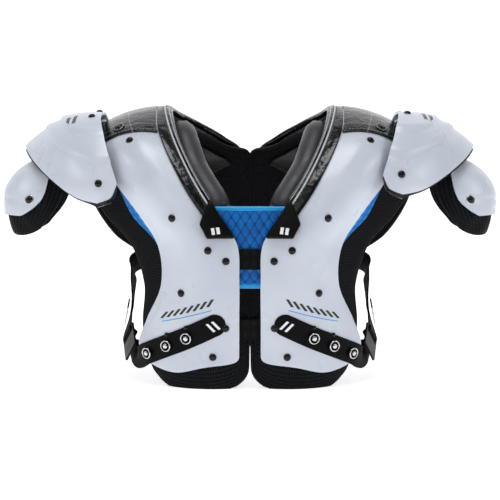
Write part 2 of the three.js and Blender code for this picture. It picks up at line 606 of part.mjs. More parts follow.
// The webbing under the plate that hangs the cap from the arch
function makeHanger() {
  const from = PLATE_SEAT.section;
  const onTop = (down) => ({
    place: onCap(0, down, CAP_WALL + 2.5 * GAP),
    out: normalOf(capPoint, 0, down),
  });
  const arch = [0.86, 0.93, 1.0].map((across) => formLine(from, across, ARCH_WALL + 2 * GAP));
  const cap = [0, 0.1, 0.21].map(onTop);
  const span = { place: arch[2].place.clone().lerp(cap[0].place, 0.6), out: new THREE.Vector3(0, 0, 1) };
  span.place.z += 2 * HANGER_THICK;
  return band(framesAlong([...arch, span, ...cap], even(9)), () => HANGER_WIDTH, HANGER_THICK);
}

// The belt lies on the chest part of the arch, turns its corner and ends at the buckle
const sharePoint = ({ X, Y, Z }) => new THREE.Vector3(X * HALF_SPAN, Y * HALF_DEPTH, Z * FORM_HEIGHT);
const sideways = ({ X, Y }) => new THREE.Vector3((X - 0.3) * HALF_SPAN, (Y + 0.1) * HALF_DEPTH, 0).normalize();
const sideLine = (point) => ({ place: sharePoint(point), out: sideways(point) });
const beltLine = [
  ...BELT_LINE.map(({ section, across }) => formLine(section, across, ARCH_WALL + 2 * GAP)),
  ...BELT_SIDE.map(sideLine),
];
const EYELETS = [0.385, 0.535, 0.69]; // places along the belt, as shares of its length
function makeBelt() {
  const length = lineLength(beltLine);
  const radius = BELT_WIDTH / 2;
  const width = (share) => {
    const end = Math.min(share, 1 - share) * length;
    return end > radius ? BELT_WIDTH : 2 * Math.sqrt(Math.max(radius ** 2 - (radius - end) ** 2, 9));
  };
  const holes = EYELETS.map((share) => {
    const { place, outward } = frameAt(beltLine, share);
    const hole = new THREE.CylinderGeometry(EYELET_RADIUS, EYELET_RADIUS, 6 * BELT_THICK, 8);
    return stoodOn(hole.rotateX(Math.PI / 2), place, outward);
  });
  return cutBy(band(framesAlong(beltLine, even(20)), width, BELT_THICK), holes);
}

// The buckle lies on the belt's end, and the side webbing leaves through its slot
const beltEnd = frameAt(beltLine, 0.93);
function plateWithSlots(length, width, thickness, slots) {
  const shape = new THREE.Shape();
  shape.moveTo(-width / 2, -length / 2);
  shape.lineTo(width / 2, -length / 2);
  shape.lineTo(width / 2, length / 2);
  shape.lineTo(-width / 2, length / 2);
  for (const { from, to, half } of slots) {
    const hole = new THREE.Path();
    hole.moveTo(-half, from);
    hole.lineTo(-half, to);
    hole.lineTo(half, to);
    hole.lineTo(half, from);
    shape.holes.push(hole);
  }
  return new THREE.ExtrudeGeometry(shape, { depth: thickness, bevelEnabled: false });
}
function laidOn(geometry, { place, forward, side, outward }) {
  const frame = new THREE.Matrix4().makeBasis(side.clone().negate(), forward, outward).setPosition(place);
  return geometry.applyMatrix4(frame);
}
const BUCKLE_BAR = 4;
const BUCKLE_SLOT = 7;
function makeBuckle() {
  const slotTop = BUCKLE_LENGTH / 2 - BUCKLE_BAR;
  const slot = { from: slotTop - BUCKLE_SLOT, to: slotTop, half: WEB_WIDTH / 2 + 1 };
  const plate = plateWithSlots(BUCKLE_LENGTH, BUCKLE_WIDTH, BUCKLE_THICK, [slot]);
  plate.translate(0, BUCKLE_LENGTH / 3, BELT_THICK + GAP);
  return laidOn(plate, beltEnd);
}

// The side webbing goes from the buckle's slot round the side and is riveted to the back arch
const WEB_SECTION = LAST - 3.85;
const fromBelt = (forward, outward) => ({
  place: beltEnd.place.clone().addScaledVector(beltEnd.forward, forward).addScaledVector(beltEnd.outward, outward),
  out: beltEnd.outward,
});
const BUCKLE_END = BUCKLE_LENGTH / 3 + BUCKLE_LENGTH / 2;
const OVER_BAR = BELT_THICK + GAP + BUCKLE_THICK + GAP;
const webLine = [
  fromBelt(BUCKLE_END - BUCKLE_BAR - BUCKLE_SLOT - 1, 0.2),
  fromBelt(BUCKLE_END - BUCKLE_BAR - BUCKLE_SLOT + 1, 0.8),
  fromBelt(BUCKLE_END - BUCKLE_BAR - 0.5, OVER_BAR + 0.6),
  fromBelt(BUCKLE_END + 1, OVER_BAR + 0.4),
  ...WEB_SIDE.map(sideLine),
  ...[1.22, 1.1, 1.0, 0.92, 0.84].map((across) => formLine(WEB_SECTION, across, ARCH_WALL + SOFT_GAP)),
];
function makeWebbing() {
  const start = even(7).map((f) => (f * 1.3 * BUCKLE_SLOT * 2) / lineLength(webLine));
  const rest = even(14).map((f) => mix(start[7], 1, f));
  return band(framesAlong(webLine, [...start, ...rest.slice(1)]), () => WEB_WIDTH, WEB_THICK);
}
function makeSlider() {
  const slotHalf = WEB_WIDTH / 2 + 1;
  const middle = SLIDER_BAR / 2;
  const end = SLIDER_LENGTH / 2 - SLIDER_BAR;
  const slots = [
    { from: -end, to: -middle, half: slotHalf },
    { from: middle, to: end, half: slotHalf },
  ];
  const slider = plateWithSlots(SLIDER_LENGTH, WEB_WIDTH + 2 + 2 * SLIDER_BAR, 2, slots);
  slider.translate(0, 0, WEB_THICK + 2 * GAP);
  return laidOn(slider, frameAt(webLine, 0.18));
}

// The quilted panel and the elastic straps that join the two arches under their middle edges.
// They follow one face across the middle, from one arch's form to the other's.
function acrossMiddle(x, z, near, lift) {
  let [section, across] = [near, 0];
  for (let i = 0; i < 12; i++) {
    const point = formPoint(section, across);
    const upwards = formPoint(section + SMALL, across).z - formPoint(section - SMALL, across).z;
    const outwards = formPoint(section, across + SMALL).x - formPoint(section, across - SMALL).x;
    across = Math.max(across + ((Math.abs(x) - point.x) / outwards) * 2 * SMALL, 0);
    section += ((z - point.z) / upwards) * 2 * SMALL;
  }
  const point = onForm(section, across, lift);
  return new THREE.Vector3(x, point.y, z);
}
const ACROSS = [-1, -0.62, -0.32, 0, 0.32, 0.62, 1];
const STERNUM = { section: 3.86, height: 92 };
function makeSternum() {
  const lift = -SOFT_GAP - ELASTIC_THICK - SOFT_GAP;
  const middle = formEdge(STERNUM.section, "in").z;
  const face = (side) => (u, v) => {
    const full = fullness(u, 4) * (Math.abs(v) > 0.99 ? 0 : 1 - 0.2 * v ** 8);
    const z = middle + mix(-0.5, 0.5, u) * STERNUM.height;
    return acrossMiddle(v * STERNUM_HALF, z, STERNUM.section, lift - (STERNUM_THICK / 2) * (1 - side * full));
  };
  return between(face(1), face(-1), [0, 0.06, 0.35, 0.65, 0.94, 1], [-1, -0.9, -0.6, -0.3, 0, 0.3, 0.6, 0.9, 1], true);
}
// An elastic strap whose middle is at one section, as far as a distance to each side
function makeElastic(section, half) {
  const middle = formEdge(section, "in").z;
  const face = (lift) => (u, v) => acrossMiddle(v * half, middle + (u - 0.5) * ELASTIC_HEIGHT, section, lift);
  return between(face(-SOFT_GAP), face(-SOFT_GAP - ELASTIC_THICK), even(1), ACROSS);
}

// A domed rivet head, standing on a place with its axis outwards
function makeRivet(place, direction, radius = RIVET_RADIUS) {
  const profile = [
    [0, 0],
    [radius, 0],
    [radius * 0.96, RIVET_HEIGHT * 0.4],
    [radius * 0.6, RIVET_HEIGHT * 0.85],
    [0, RIVET_HEIGHT],
  ].map(([x, y]) => new THREE.Vector2(x, y));
  return stoodOn(new THREE.LatheGeometry(profile, 8).rotateX(Math.PI / 2), place, direction);
}

const shoulderPad = new THREE.Group();
function add(parent, name, geometry, material) {
  const mesh = new THREE.Mesh(geometry, material);
  mesh.name = name;
  parent.add(mesh);
}

const whitePlastic = finish(plateWhite, 0.35);
const blackVinyl = finish(vinylBlack, 0.3);
const blackMesh = finish(meshBlack, 0.9);
const blackPlastic = finish(vinylBlack, 0.45);
const blueFabric = finish(padBlue, 0.85);
const steelWire = finish(steel, 0.25, 1);
const RIVET_LIFT = GAP / 2;

for (const side of ["left", "right"]) {
  const half = new THREE.Group();
  half.scale.x = side === "left" ? 1 : -1;
  shoulderPad.add(half);
  add(half, "arch_" + side, makeArch(), whitePlastic);
  add(half, "lining_" + side, makeLining(), blueFabric);
  add(half, "body_pad_" + side, makeBodyPad(), blackMesh);
  add(half, "wedge_" + side, makeWedge(), blackPlastic);
  add(half, "collar_trim_" + side, makeTrim(), blackVinyl);
  add(half, "neck_roll_" + side, makeNeckRoll(), blackVinyl);
  add(half, "neck_flap_" + side, makeFlap(), blackVinyl);
  add(half, "shoulder_strap_" + side, makeShoulderStrap(), blackVinyl);
  add(half, "shoulder_cap_" + side, makeCap(), whitePlastic);
  add(half, "cap_pad_" + side, makeCapPad(), blackMesh);
  add(half, "cap_hanger_" + side, makeHanger(), blackMesh);
  add(half, "belt_" + side, makeBelt(), blackPlastic);
  add(half, "buckle_" + side, makeBuckle(), blackPlastic);
  add(half, "webbing_" + side, makeWebbing(), blackMesh);
  add(half, "slider_" + side, makeSlider(), steelWire);
  ARCH_RIVETS.forEach(({ section, across }, i) => {
    const rivet = makeRivet(onArch(section, across, RIVET_LIFT), formNormal(section, across));
    add(half, "arch_rivet_" + (i + 1) + "_" + side, rivet, blackPlastic);
  });

  // The plate hangs from the strap and swings a little about the top of the shoulder
  const swing = new THREE.Group();
  const pivotZ = seat.z - 0.3 * FORM_HEIGHT;
  swing.position.set(0, seat.y, pivotZ);
  swing.rotation.x = THREE.MathUtils.degToRad(PLATE_SWING[side]);
  half.add(swing);
  const hung = new THREE.Group();
  hung.position.set(0, -seat.y, -pivotZ);
  swing.add(hung);
  add(hung, "plate_" + side, makePlate(), whitePlastic);
  add(hung, "plate_liner_" + side, makePlateLiner(), blackVinyl);
  for (const [name, turn, out] of [["top", -0.22, 0.1], ["front", -0.86, 0.45]]) {
    const rivet = makeRivet(onPlateTop(turn, out, RIVET_LIFT), normalOf(platePoint, turn, out));
    add(hung, "plate_rivet_" + name + "_" + side, rivet, blackPlastic);
  }
}
add(shoulderPad, "sternum_panel", makeSternum(), blueFabric);
add(shoulderPad, "chest_strap_upper", makeElastic(3.56, CHEST_STRAP_HALF), blackMesh);
add(shoulderPad, "chest_strap_lower", makeElastic(1.72, CHEST_STRAP_HALF), blackMesh);
add(shoulderPad, "back_strap_upper", makeElastic(LAST - 4.05, BACK_STRAP_HALF), blackMesh);
add(shoulderPad, "back_strap_lower", makeElastic(LAST - 1.7, BACK_STRAP_HALF), blackMesh);

// The origin is under the middle of the whole part
const box = new THREE.Box3().setFromObject(shoulderPad, true);
shoulderPad.position.y = -(box.min.y + box.max.y) / 2;
const part = new THREE.Group();
part.add(shoulderPad);

export default part;
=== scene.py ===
import math

import bmesh
import bpy
import numpy as np
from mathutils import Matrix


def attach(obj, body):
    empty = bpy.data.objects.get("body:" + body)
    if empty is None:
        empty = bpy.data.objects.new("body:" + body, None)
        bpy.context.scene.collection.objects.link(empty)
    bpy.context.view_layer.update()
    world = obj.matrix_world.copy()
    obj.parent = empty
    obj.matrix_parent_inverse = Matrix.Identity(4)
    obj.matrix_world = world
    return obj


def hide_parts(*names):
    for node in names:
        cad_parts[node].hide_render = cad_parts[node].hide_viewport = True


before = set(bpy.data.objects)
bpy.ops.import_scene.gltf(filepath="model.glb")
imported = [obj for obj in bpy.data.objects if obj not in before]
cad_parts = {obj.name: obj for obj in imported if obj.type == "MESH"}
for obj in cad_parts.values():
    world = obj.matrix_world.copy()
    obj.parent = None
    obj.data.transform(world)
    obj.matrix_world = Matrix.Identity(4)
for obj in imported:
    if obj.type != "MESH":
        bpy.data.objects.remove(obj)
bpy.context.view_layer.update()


# The room: a white studio sweep that glows a little, soft lights in front, above and at each side,
# and the camera of the photograph, a long lens a little above the piece, looking six degrees down.
def linear(code):
    """sRGB hex code to linear: c/12.92 below 0.04045, else ((c + 0.055) / 1.055) to the power 2.4."""
    c = np.array([int(code[i : i + 2], 16) for i in (1, 3, 5)]) / 255
    c = np.where(c <= 0.04045, c / 12.92, ((c + 0.055) / 1.055) ** 2.4)
    return (*map(float, c), 1.0)


def node(tree, kind, inputs=None, **settings):
    """Adds a node with its settings; an input is linked if it is given a socket, else set."""
    made = tree.nodes.new(kind)
    for key, value in settings.items():
        setattr(made, key, value)
    for key, value in (inputs or {}).items():
        if isinstance(value, bpy.types.NodeSocket):
            tree.links.new(value, made.inputs[key])
        else:
            made.inputs[key].default_value = value
    return made


def finish_named(name, color, roughness, **more):
    """A material with a Principled shader: (material, its node tree, its shader)."""
    material = bpy.data.materials.new(name)
    material.use_nodes = True
    tree = material.node_tree
    shader = tree.nodes["Principled BSDF"]
    shader.inputs["Base Color"].default_value = linear(color)
    shader.inputs["Roughness"].default_value = roughness
    for key, value in more.items():
        shader.inputs[key.replace("_", " ")].default_value = value
    material.diffuse_color = linear(color)
    return material, tree, shader


FLOOR_COLOR, FLOOR_GLOW = "#F7F7F8", 0.75
sweep_paint, tree, shader = finish_named("lit_white_acrylic_sweep", FLOOR_COLOR, 0.9)
shader.inputs["Emission Color"].default_value = linear(FLOOR_COLOR)
shader.inputs["Emission Strength"].default_value = FLOOR_GLOW
size, bend, wall_at = 9.0, 1.2, 4.2
turn = np.linspace(0, math.pi / 2, 13)
profile = np.concatenate(
    [
        [[-size, 0.0]],
        np.stack([wall_at + bend * np.sin(turn), bend * (1 - np.cos(turn))], axis=1),
        [[wall_at + bend, size]],
    ]
)
floor_mesh = bpy.data.meshes.new("studio_sweep")
corners = [(x, y, z) for y, z in profile for x in (-size, size)]
quads = [(2 * i, 2 * i + 1, 2 * i + 3, 2 * i + 2) for i in range(len(profile) - 1)]
floor_mesh.from_pydata(corners, [], quads)
floor_mesh.materials.append(sweep_paint)
floor = bpy.data.objects.new("studio_sweep", floor_mesh)
bpy.context.scene.collection.objects.link(floor)

world = bpy.data.worlds.new("studio_air")
world.use_nodes = True
world.node_tree.nodes["Background"].inputs["Color"].default_value = linear("#F4F6FA")
world.node_tree.nodes["Background"].inputs["Strength"].default_value = 0.16
bpy.context.scene.world = world
bpy.context.scene.view_settings.view_transform = "Standard"
LIGHTS = {
    "front_softbox": {"at": (-0.7, -2.6, 1.7), "side": 1.3, "power": 6.0},
    "left_strip": {"at": (-2.1, -0.5, 1.2), "side": 0.6, "power": 6},
    "right_strip": {"at": (2.1, -0.6, 1.0), "side": 0.7, "power": 7},
    "top_softbox": {"at": (-0.1, -0.4, 2.2), "side": 1.1, "power": 24},
}
for name, values in LIGHTS.items():
    light = bpy.data.lights.new(name, "AREA")
    light.size, light.energy = values["side"], values["power"]
    lamp = bpy.data.objects.new(name, light)
    from_lamp = np.array([0, 0, 0.15]) - np.array(values["at"])
    pitch = math.atan2(math.hypot(from_lamp[0], from_lamp[1]), -from_lamp[2])
    lamp.location = values["at"]
    lamp.rotation_euler = (pitch, 0, math.atan2(-from_lamp[0], from_lamp[1]))
    bpy.context.scene.collection.objects.link(lamp)

FORM_Y = 3.607  # the part's depth is centred on its box, this far behind the body form's middle
LENS, DISTANCE, ELEVATION, AIM_Z = 115.2, 2.0, math.radians(6), 0.1515
camera = bpy.data.objects.new("camera", bpy.data.cameras.new("camera"))
camera.data.lens = LENS
camera.data.sensor_width = 36
camera.location = (
    0,
    FORM_Y / 1000 - DISTANCE * math.cos(ELEVATION),
    AIM_Z + DISTANCE * math.sin(ELEVATION),
)
camera.rotation_euler = (math.pi / 2 - ELEVATION, 0, 0)
bpy.context.scene.collection.objects.link(camera)
bpy.context.scene.camera = camera


# The two arches: vacuum-formed high-density polyethylene, 3 mm thick, slightly cloudy, with a
# raised rib down the middle of the chest and the back. Everything else is fixed to them.
SIDES = {"left": 1, "right": -1}  # the sign of X, +X being the wearer's left
SPAN, DEPTH, HEIGHT = 200.0, 142.0, 332.0  # mm, half width, half depth and height of the form
SECTIONS = np.array(
    [  # neck edge X, Y, Z; arm edge X, Y, Z; bulge; liner past the neck edge and the arm edge
        (0.065, -0.91, -0.02, 0.53, -0.75, -0.02, 0.07, 0.058, 0.05),
        (0.065, -0.95, 0.127, 0.65, -0.67, 0.13, 0.08, 0.057, 0.0),
        (0.065, -0.985, 0.253, 0.61, -0.7, 0.23, 0.08, 0.052, 0.07),
        (0.065, -1.0, 0.39, 0.515, -0.8, 0.367, 0.065, -0.16, 0.15),
        (0.08, -1.0, 0.524, 0.53, -0.8, 0.506, 0.06, -0.17, 0.21),
        (0.215, -0.96, 0.627, 0.64, -0.75, 0.615, 0.065, -0.03, 0.27),
        (0.348, -0.84, 0.74, 0.79, -0.65, 0.73, 0.075, 0.048, 0.25),
        (0.456, -0.61, 0.86, 0.9, -0.465, 0.82, 0.08, 0.067, 0.17),
        (0.507, -0.31, 0.942, 0.975, -0.21, 0.862, 0.06, 0.045, 0.09),
        (0.52, 0.03, 0.98, 1.0, 0.07, 0.87, 0.05, 0.02, 0.08),
        (0.475, 0.35, 0.957, 0.98, 0.35, 0.85, 0.06, 0.02, 0.09),
        (0.35, 0.635, 0.913, 0.915, 0.58, 0.786, 0.075, 0.02, 0.17),
        (0.2, 0.82, 0.855, 0.81, 0.71, 0.687, 0.075, 0.03, 0.24),
        (0.085, 0.915, 0.79, 0.69, 0.795, 0.572, 0.065, 0.074, 0.24),
        (0.065, 0.97, 0.633, 0.59, 0.83, 0.452, 0.06, 0.071, 0.15),
        (0.065, 0.99, 0.476, 0.54, 0.83, 0.337, 0.06, 0.07, 0.11),
        (0.065, 0.98, 0.313, 0.57, 0.775, 0.23, 0.07, 0.069, 0.07),
        (0.065, 0.95, 0.157, 0.6, 0.69, 0.114, 0.08, 0.068, 0.02),
        (0.065, 0.91, -0.02, 0.53, 0.75, -0.02, 0.07, 0.066, 0.05),
    ]
)
SECTIONS *= (SPAN, DEPTH, HEIGHT, SPAN, DEPTH, HEIGHT, SPAN, SPAN, SPAN)
SECTIONS[:, [1, 4]] += FORM_Y
LAST = len(SECTIONS) - 1


def row(table, place):
    """A table's row at any place between its rows: the uniform Catmull-Rom cubic through them."""
    ends = [2 * table[:1] - table[1:2], table, 2 * table[-1:] - table[-2:-1]]
    table = np.concatenate(ends)
    place = np.asarray(place, float)
    i = np.clip(np.floor(place).astype(int), 0, len(table) - 4)
    f = (place - i)[..., None]
    a, b, c, d = (table[i + k] for k in range(4))
    cubic = (3 * b - a - 3 * c + d) * f**3
    return 0.5 * (2 * b + (c - a) * f + (2 * a - 5 * b + 4 * c - d) * f**2 + cubic)


def unit(v):
    return v / np.maximum(np.linalg.norm(v, axis=-1, keepdims=True), 1e-9)


def paired(first, second):
    """Both as arrays of one shape."""
    return np.broadcast_arrays(np.asarray(first, float), np.asarray(second, float))


def bulged(inner, outer, inner_ahead, outer_ahead, bulge, across):
    """inner + across (outer - inner), plus 4 bulge across (1 - across) square to chord and path.
    Past the outer edge, by x, that last term is -4 bulge x / (1 + 3 x), which soon runs straight."""
    path = (inner_ahead + outer_ahead) - (inner + outer)
    out = unit(np.cross(outer - inner, path))
    across = np.asarray(across)[..., None]
    past = np.maximum(across - 1, 0)
    rise = np.where(past > 0, -past / (1 + 3 * past), across * (1 - across))
    return inner + (outer - inner) * across + out * (4 * bulge * rise)


STEP = 0.01


def form(section, across):
    """The body form's point at a section number and a share from its neck edge to its arm edge."""
    section, across = paired(section, across)
    here, ahead = row(SECTIONS, section), row(SECTIONS, section + STEP)
    edges = (r[..., i : i + 3] for r in (here, ahead) for i in (0, 3))
    return bulged(*edges, here[..., 6:7], across)


def normal_of(surface, along, across):
    """Unit cross product of the surface's steps across and along."""
    sideways = surface(along, across + STEP) - surface(along, across - STEP)
    return unit(np.cross(sideways, surface(along + STEP, across) - surface(along - STEP, across)))


def lifted(surface, along, across, lift):
    """The surface's point, moved out along its normal by lift."""
    along, across = paired(along, across)
    lift = np.broadcast_to(lift, along.shape)[..., None]
    return surface(along, across) + normal_of(surface, along, across) * lift


def on_form(section, across, lift):
    return lifted(form, section, across, lift)


def form_width(section):
    here = row(SECTIONS, section)
    return np.linalg.norm(here[..., 3:6] - here[..., :3], axis=-1)


def bell(x):
    return np.exp(-(x**2))


def ramp(x, start, end):
    f = np.clip((np.asarray(x, float) - start) / (end - start), 0, 1)
    return f * f * (3 - 2 * f)


def rounded(v, power):
    """1 in the middle of 0..1 and 0 at its ends, on a superellipse of that power."""
    return np.maximum(1 - np.abs(2 * v - 1) ** power, 0) ** (1 / power)


def eased(n):
    return 0.5 - 0.5 * np.cos(np.linspace(0, math.pi, n))


ARCH_WALL, RIB_RISE = 3.0, 3.5


def rib(section, across):
    """The moulded rib: a plateau with soft flanks across, faded in and out along the arch."""
    front = ramp(section, 2.9, 4.4) * (1 - ramp(section, 6.4, 7.4))
    back = ramp(section, LAST - 7.4, LAST - 6.4) * (1 - ramp(section, LAST - 4.4, LAST - 2.9))
    return RIB_RISE * (front + back) * np.exp(-(np.abs((across - 0.52) / 0.25) ** 3.2))


def piece_of(name, points, faces, material):
    """A smooth object with that mesh, its points given in mm."""
    mesh = bpy.data.meshes.new(name)
    mesh.from_pydata((points.reshape(-1, 3) / 1000).tolist(), [], faces)
    mesh.polygons.foreach_set("use_smooth", np.ones(len(faces), bool))
    mesh.materials.append(material)
    piece = bpy.data.objects.new(name, mesh)
    bpy.context.scene.collection.objects.link(piece)
    return piece


def skin(name, points, material, sign=1, closed=False, ends=False, flip=False):
    """A mesh from a grid of points in mm: quads between neighbours, joined round if closed, with
    both end rings filled if ends. sign -1 mirrors it in X and turns its faces round. The UV map
    holds distances in metres: across each row from its middle, and along the middle column."""
    points = np.asarray(points, float) * (sign, 1, 1)
    rows, columns = points.shape[:2]
    index = np.arange(rows * columns).reshape(rows, columns)
    beside = np.roll(index, -1, axis=1) if closed else index[:, 1:]
    left, right = (index, beside) if closed else (index[:, :-1], beside)
    quads = np.stack([left[:-1], right[:-1], right[1:], left[1:]], axis=-1).reshape(-1, 4)
    faces = quads.tolist()
    if ends:
        faces += [index[0][::-1].tolist(), index[-1].tolist()]
    if (sign < 0) != flip:
        faces = [f[::-1] for f in faces]
    piece = piece_of(name, points, faces, material)
    mesh = piece.data
    steps = np.linalg.norm(np.diff(points, axis=1), axis=-1) / 1000
    u = np.concatenate([np.zeros((rows, 1)), np.cumsum(steps, axis=1)], axis=1)
    u -= u[:, columns // 2 : columns // 2 + 1]
    lengths = np.linalg.norm(np.diff(points[:, columns // 2], axis=0), axis=-1) / 1000
    v = np.concatenate([[0], np.cumsum(lengths)])[:, None] * np.ones((1, columns))
    corners = np.zeros(len(mesh.loops), int)
    mesh.loops.foreach_get("vertex_index", corners)
    uv = mesh.uv_layers.new(name="cloth")
    uv.data.foreach_set("uv", np.stack([u, v], axis=-1).reshape(-1, 2)[corners].ravel())
    return piece


def solid(piece, wall, rim):
    """Gives a sheet its wall, outwards if positive, and rounds its rims."""
    thick = piece.modifiers.new("wall", "SOLIDIFY")
    thick.thickness = abs(wall) / 1000
    thick.offset = 1 if wall > 0 else -1
    thick.use_even_offset = True
    bevel = piece.modifiers.new("rim", "BEVEL")
    bevel.width, bevel.segments = rim / 1000, 3
    bevel.limit_method, bevel.angle_limit = "ANGLE", math.radians(50)
    return piece


def fitted(piece, slot, *cad_nodes):
    """The piece rides on the part's one body and stands for those CAD nodes."""
    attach(piece, "root")
    if cad_nodes:
        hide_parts(*cad_nodes)
    return piece


def object_place(tree):
    return node(tree, "ShaderNodeTexCoord").outputs["Object"]


def cloth_place(tree):
    return node(tree, "ShaderNodeUVMap", uv_map="cloth").outputs["UV"]


def bumped(shader, height, depth_mm, strength=1.0):
    """Links a height to the shader's normal, with its depth in millimetres."""
    inputs = {"Height": height, "Distance": depth_mm / 1000, "Strength": strength}
    bump = node(shader.id_data, "ShaderNodeBump", inputs)
    shader.id_data.links.new(bump.outputs["Normal"], shader.inputs["Normal"])


def noise(tree, place, grain_mm, detail, rough=0.5):
    """Noise whose lumps are about that many millimetres wide."""
    inputs = {"Vector": place, "Scale": 1000 / grain_mm, "Detail": detail, "Roughness": rough}
    return node(tree, "ShaderNodeTexNoise", inputs).outputs["Fac"]


def spread(tree, value, low, high, to_low, to_high):
    """Maps a value from low..high to to_low..to_high, clamped."""
    inputs = {"Value": value, "From Min": low, "From Max": high, "To Min": to_low, "To Max": to_high}
    return node(tree, "ShaderNodeMapRange", inputs).outputs["Result"]


def blended(tree, share, first, second):
    """A colour between two hex colours, or between a socket and a hex colour."""
    mix = node(tree, "ShaderNodeMix", {"Factor": share}, data_type="RGBA")
    for socket, value in ((6, first), (7, second)):
        if isinstance(value, str):
            mix.inputs[socket].default_value = linear(value)
        else:
            tree.links.new(value, mix.inputs[socket])
    return mix.outputs[2]


def colored(shader, color):
    shader.id_data.links.new(color, shader.inputs["Base Color"])


def worn(shader, value, low, high):
    """Roughness from low to high by a noise value."""
    rough = spread(shader.id_data, value, 0.3, 0.7, low, high)
    shader.id_data.links.new(rough, shader.inputs["Roughness"])


def both(tree, first, second, operation="MULTIPLY"):
    return node(tree, "ShaderNodeMath", {0: first, 1: second}, operation=operation).outputs[0]


# Moulded polyethylene: cloudy white with a waxy gloss, a faint orange peel from the mould, and
# patches that are a little more worn and duller than others.
shell_plastic, tree, shader = finish_named(
    "moulded_polyethylene", "#C9CFDA", 0.3, IOR=1.5, Subsurface_Weight=0.12, Subsurface_Scale=0.004
)
shader.inputs["Subsurface Radius"].default_value = (1.0, 1.0, 1.2)
place = object_place(tree)
cloud = noise(tree, place, 60, 2)
colored(shader, blended(tree, spread(tree, cloud, 0.35, 0.7, 0, 1), "#C5CCD8", "#CFD5DF"))
scuffs = noise(tree, place, 34, 3, 0.5)
tree.links.new(spread(tree, scuffs, 0.35, 0.7, 0.26, 0.36), shader.inputs["Roughness"])
peel = noise(tree, place, 2.6, 2)
bumped(shader, peel, 0.05)

HEM, HEM_DIP, HEM_CORNER = 0.74, 0.22, 0.36


def arch_hem(v):
    """Section of the front hem: lower towards the arm side, with superelliptic corners."""
    return HEM - HEM_DIP * bell((v - 0.66) / 0.3) + HEM_CORNER * (1 - rounded(v, 5))


across = eased(41)[None, :]
from_hem = eased(181)[:, None]
arch_section = arch_hem(across) + (LAST - 2 * arch_hem(across)) * (
    0.12 * from_hem + 0.88 * np.linspace(0, 1, 181)[:, None]
)
for side, sign in SIDES.items():
    points = on_form(arch_section, across, rib(arch_section, across))
    shell = solid(skin(f"arch_shell_{side}", points, shell_plastic, sign), ARCH_WALL, 1.0)
    fitted(shell, "white_shell", f"arch_{side}")


def woven_bands(tree, place, x_mm, y_mm):
    """Sine bands each way of the cloth, one for each of those pitches, multiplied."""
    bands = []
    for way, pitch in (("X", x_mm), ("Y", y_mm)):
        inputs = {"Vector": place, "Scale": 1000 / pitch / 20}
        bands.append(node(tree, "ShaderNodeTexWave", inputs, bands_direction=way).outputs["Fac"])
    return both(tree, *bands)


# The lining: a blue polyester skin between the arch and the liner. It shows as a narrow crescent
# along the armhole, in front and behind.
LINING_WALL, LINING_REACH, GAP = 1.6, 17.0, 0.4
lining_cloth, tree, shader = finish_named("woven_polyester_blue", "#0B78C8", 0.6, Specular_IOR_Level=0.25)
place = cloth_place(tree)
WEAVE_MM = 1.6  # threads are 0.4 mm, too fine to show, so four are drawn as one
weave = woven_bands(tree, place, WEAVE_MM, WEAVE_MM)
# The weave's colour follows its bump: darker in the hollows between threads and lighter on their crowns,
# painted shade and painted highlight.
colored(shader, blended(tree, weave, "#0667B4", "#1C93E2"))
bumped(shader, weave, 0.2)
LINING_FROM = 3.5
section = np.linspace(LINING_FROM, LAST - LINING_FROM, 121)[:, None]
shown = LINING_REACH * (bell((section - 4.95) / 0.85) + bell((section - (LAST - 5.2)) / 0.9))
share = np.linspace(0, 1, 13)[None, :]
lining_across = 0.66 + (0.985 + shown / form_width(section) - 0.66) * share
points = on_form(section, lining_across, -GAP)
for side, sign in SIDES.items():
    piece = solid(skin(f"lining_skin_{side}", points, lining_cloth, sign), -LINING_WALL, 0.5)
    fitted(piece, "blue_fabric", f"lining_{side}")


# The liners: 16 mm foam in black knitted spacer mesh, one under each arch and wider than it, with
# a bound edge all round. They end in rounded tongues, on which the whole pad stands.
SOFT_GAP, PAD_THICK = 1.2, 16.0
PAD_LIFT = -GAP - LINING_WALL - SOFT_GAP
PAD_CORNER = 0.62
spacer_mesh, tree, shader = finish_named("knitted_spacer_mesh", "#0B0C0D", 0.75, Specular_IOR_Level=0.08)
HOLE_MM = 3.6  # a real hole is 2 mm; drawn wider so that it shows
skewed = node(tree, "ShaderNodeMapping", {"Vector": cloth_place(tree), "Scale": (1.155, 1, 1)})
inputs = {"Vector": skewed.outputs["Vector"], "Scale": 1000 / HOLE_MM, "Randomness": 0.12}
cells = node(tree, "ShaderNodeTexVoronoi", inputs, voronoi_dimensions="2D")
holes = spread(tree, cells.outputs["Distance"], 0.18, 0.42, 0, 1)
# The holes are coloured darker than the knit round them: painted shade inside the holes, against a lighter
# knit.
colored(shader, blended(tree, holes, "#010102", "#1A1B1E"))
bumped(shader, holes, 0.7, 0.8)


def pad_place(u, v):
    """Section and share across of the liner at u along (0..1) and v across (0..1)."""
    hem = PAD_CORNER * (1 - rounded(v, 2.4))
    s = hem + (LAST - 2 * hem) * u
    here = row(SECTIONS, s)
    width = form_width(s)
    meeting = 3.0 * ramp(s, LAST - 6.2, LAST - 5.0)
    start, end = -here[..., 7] - meeting, width + here[..., 8]
    return s, (start + (end - start) * v) / width


def ring_round(count):
    """Once round a stuffed body: v = (1 - cos a) / 2 across it, and 1 above its middle, for a below
    half a turn, or -1 under it."""
    a = (np.arange(count) + 0.5)[None, :] * 2 * math.pi / count
    return 0.5 - 0.5 * np.cos(a), np.where(np.sin(a) > 0, 1.0, -1.0)


def merged(piece, distance_mm=0.05):
    """Joins points that lie together, such as a seam or a pole."""
    made = bmesh.new()
    made.from_mesh(piece.data)
    bmesh.ops.remove_doubles(made, verts=made.verts, dist=distance_mm / 1000)
    made.to_mesh(piece.data)
    made.free()
    return piece


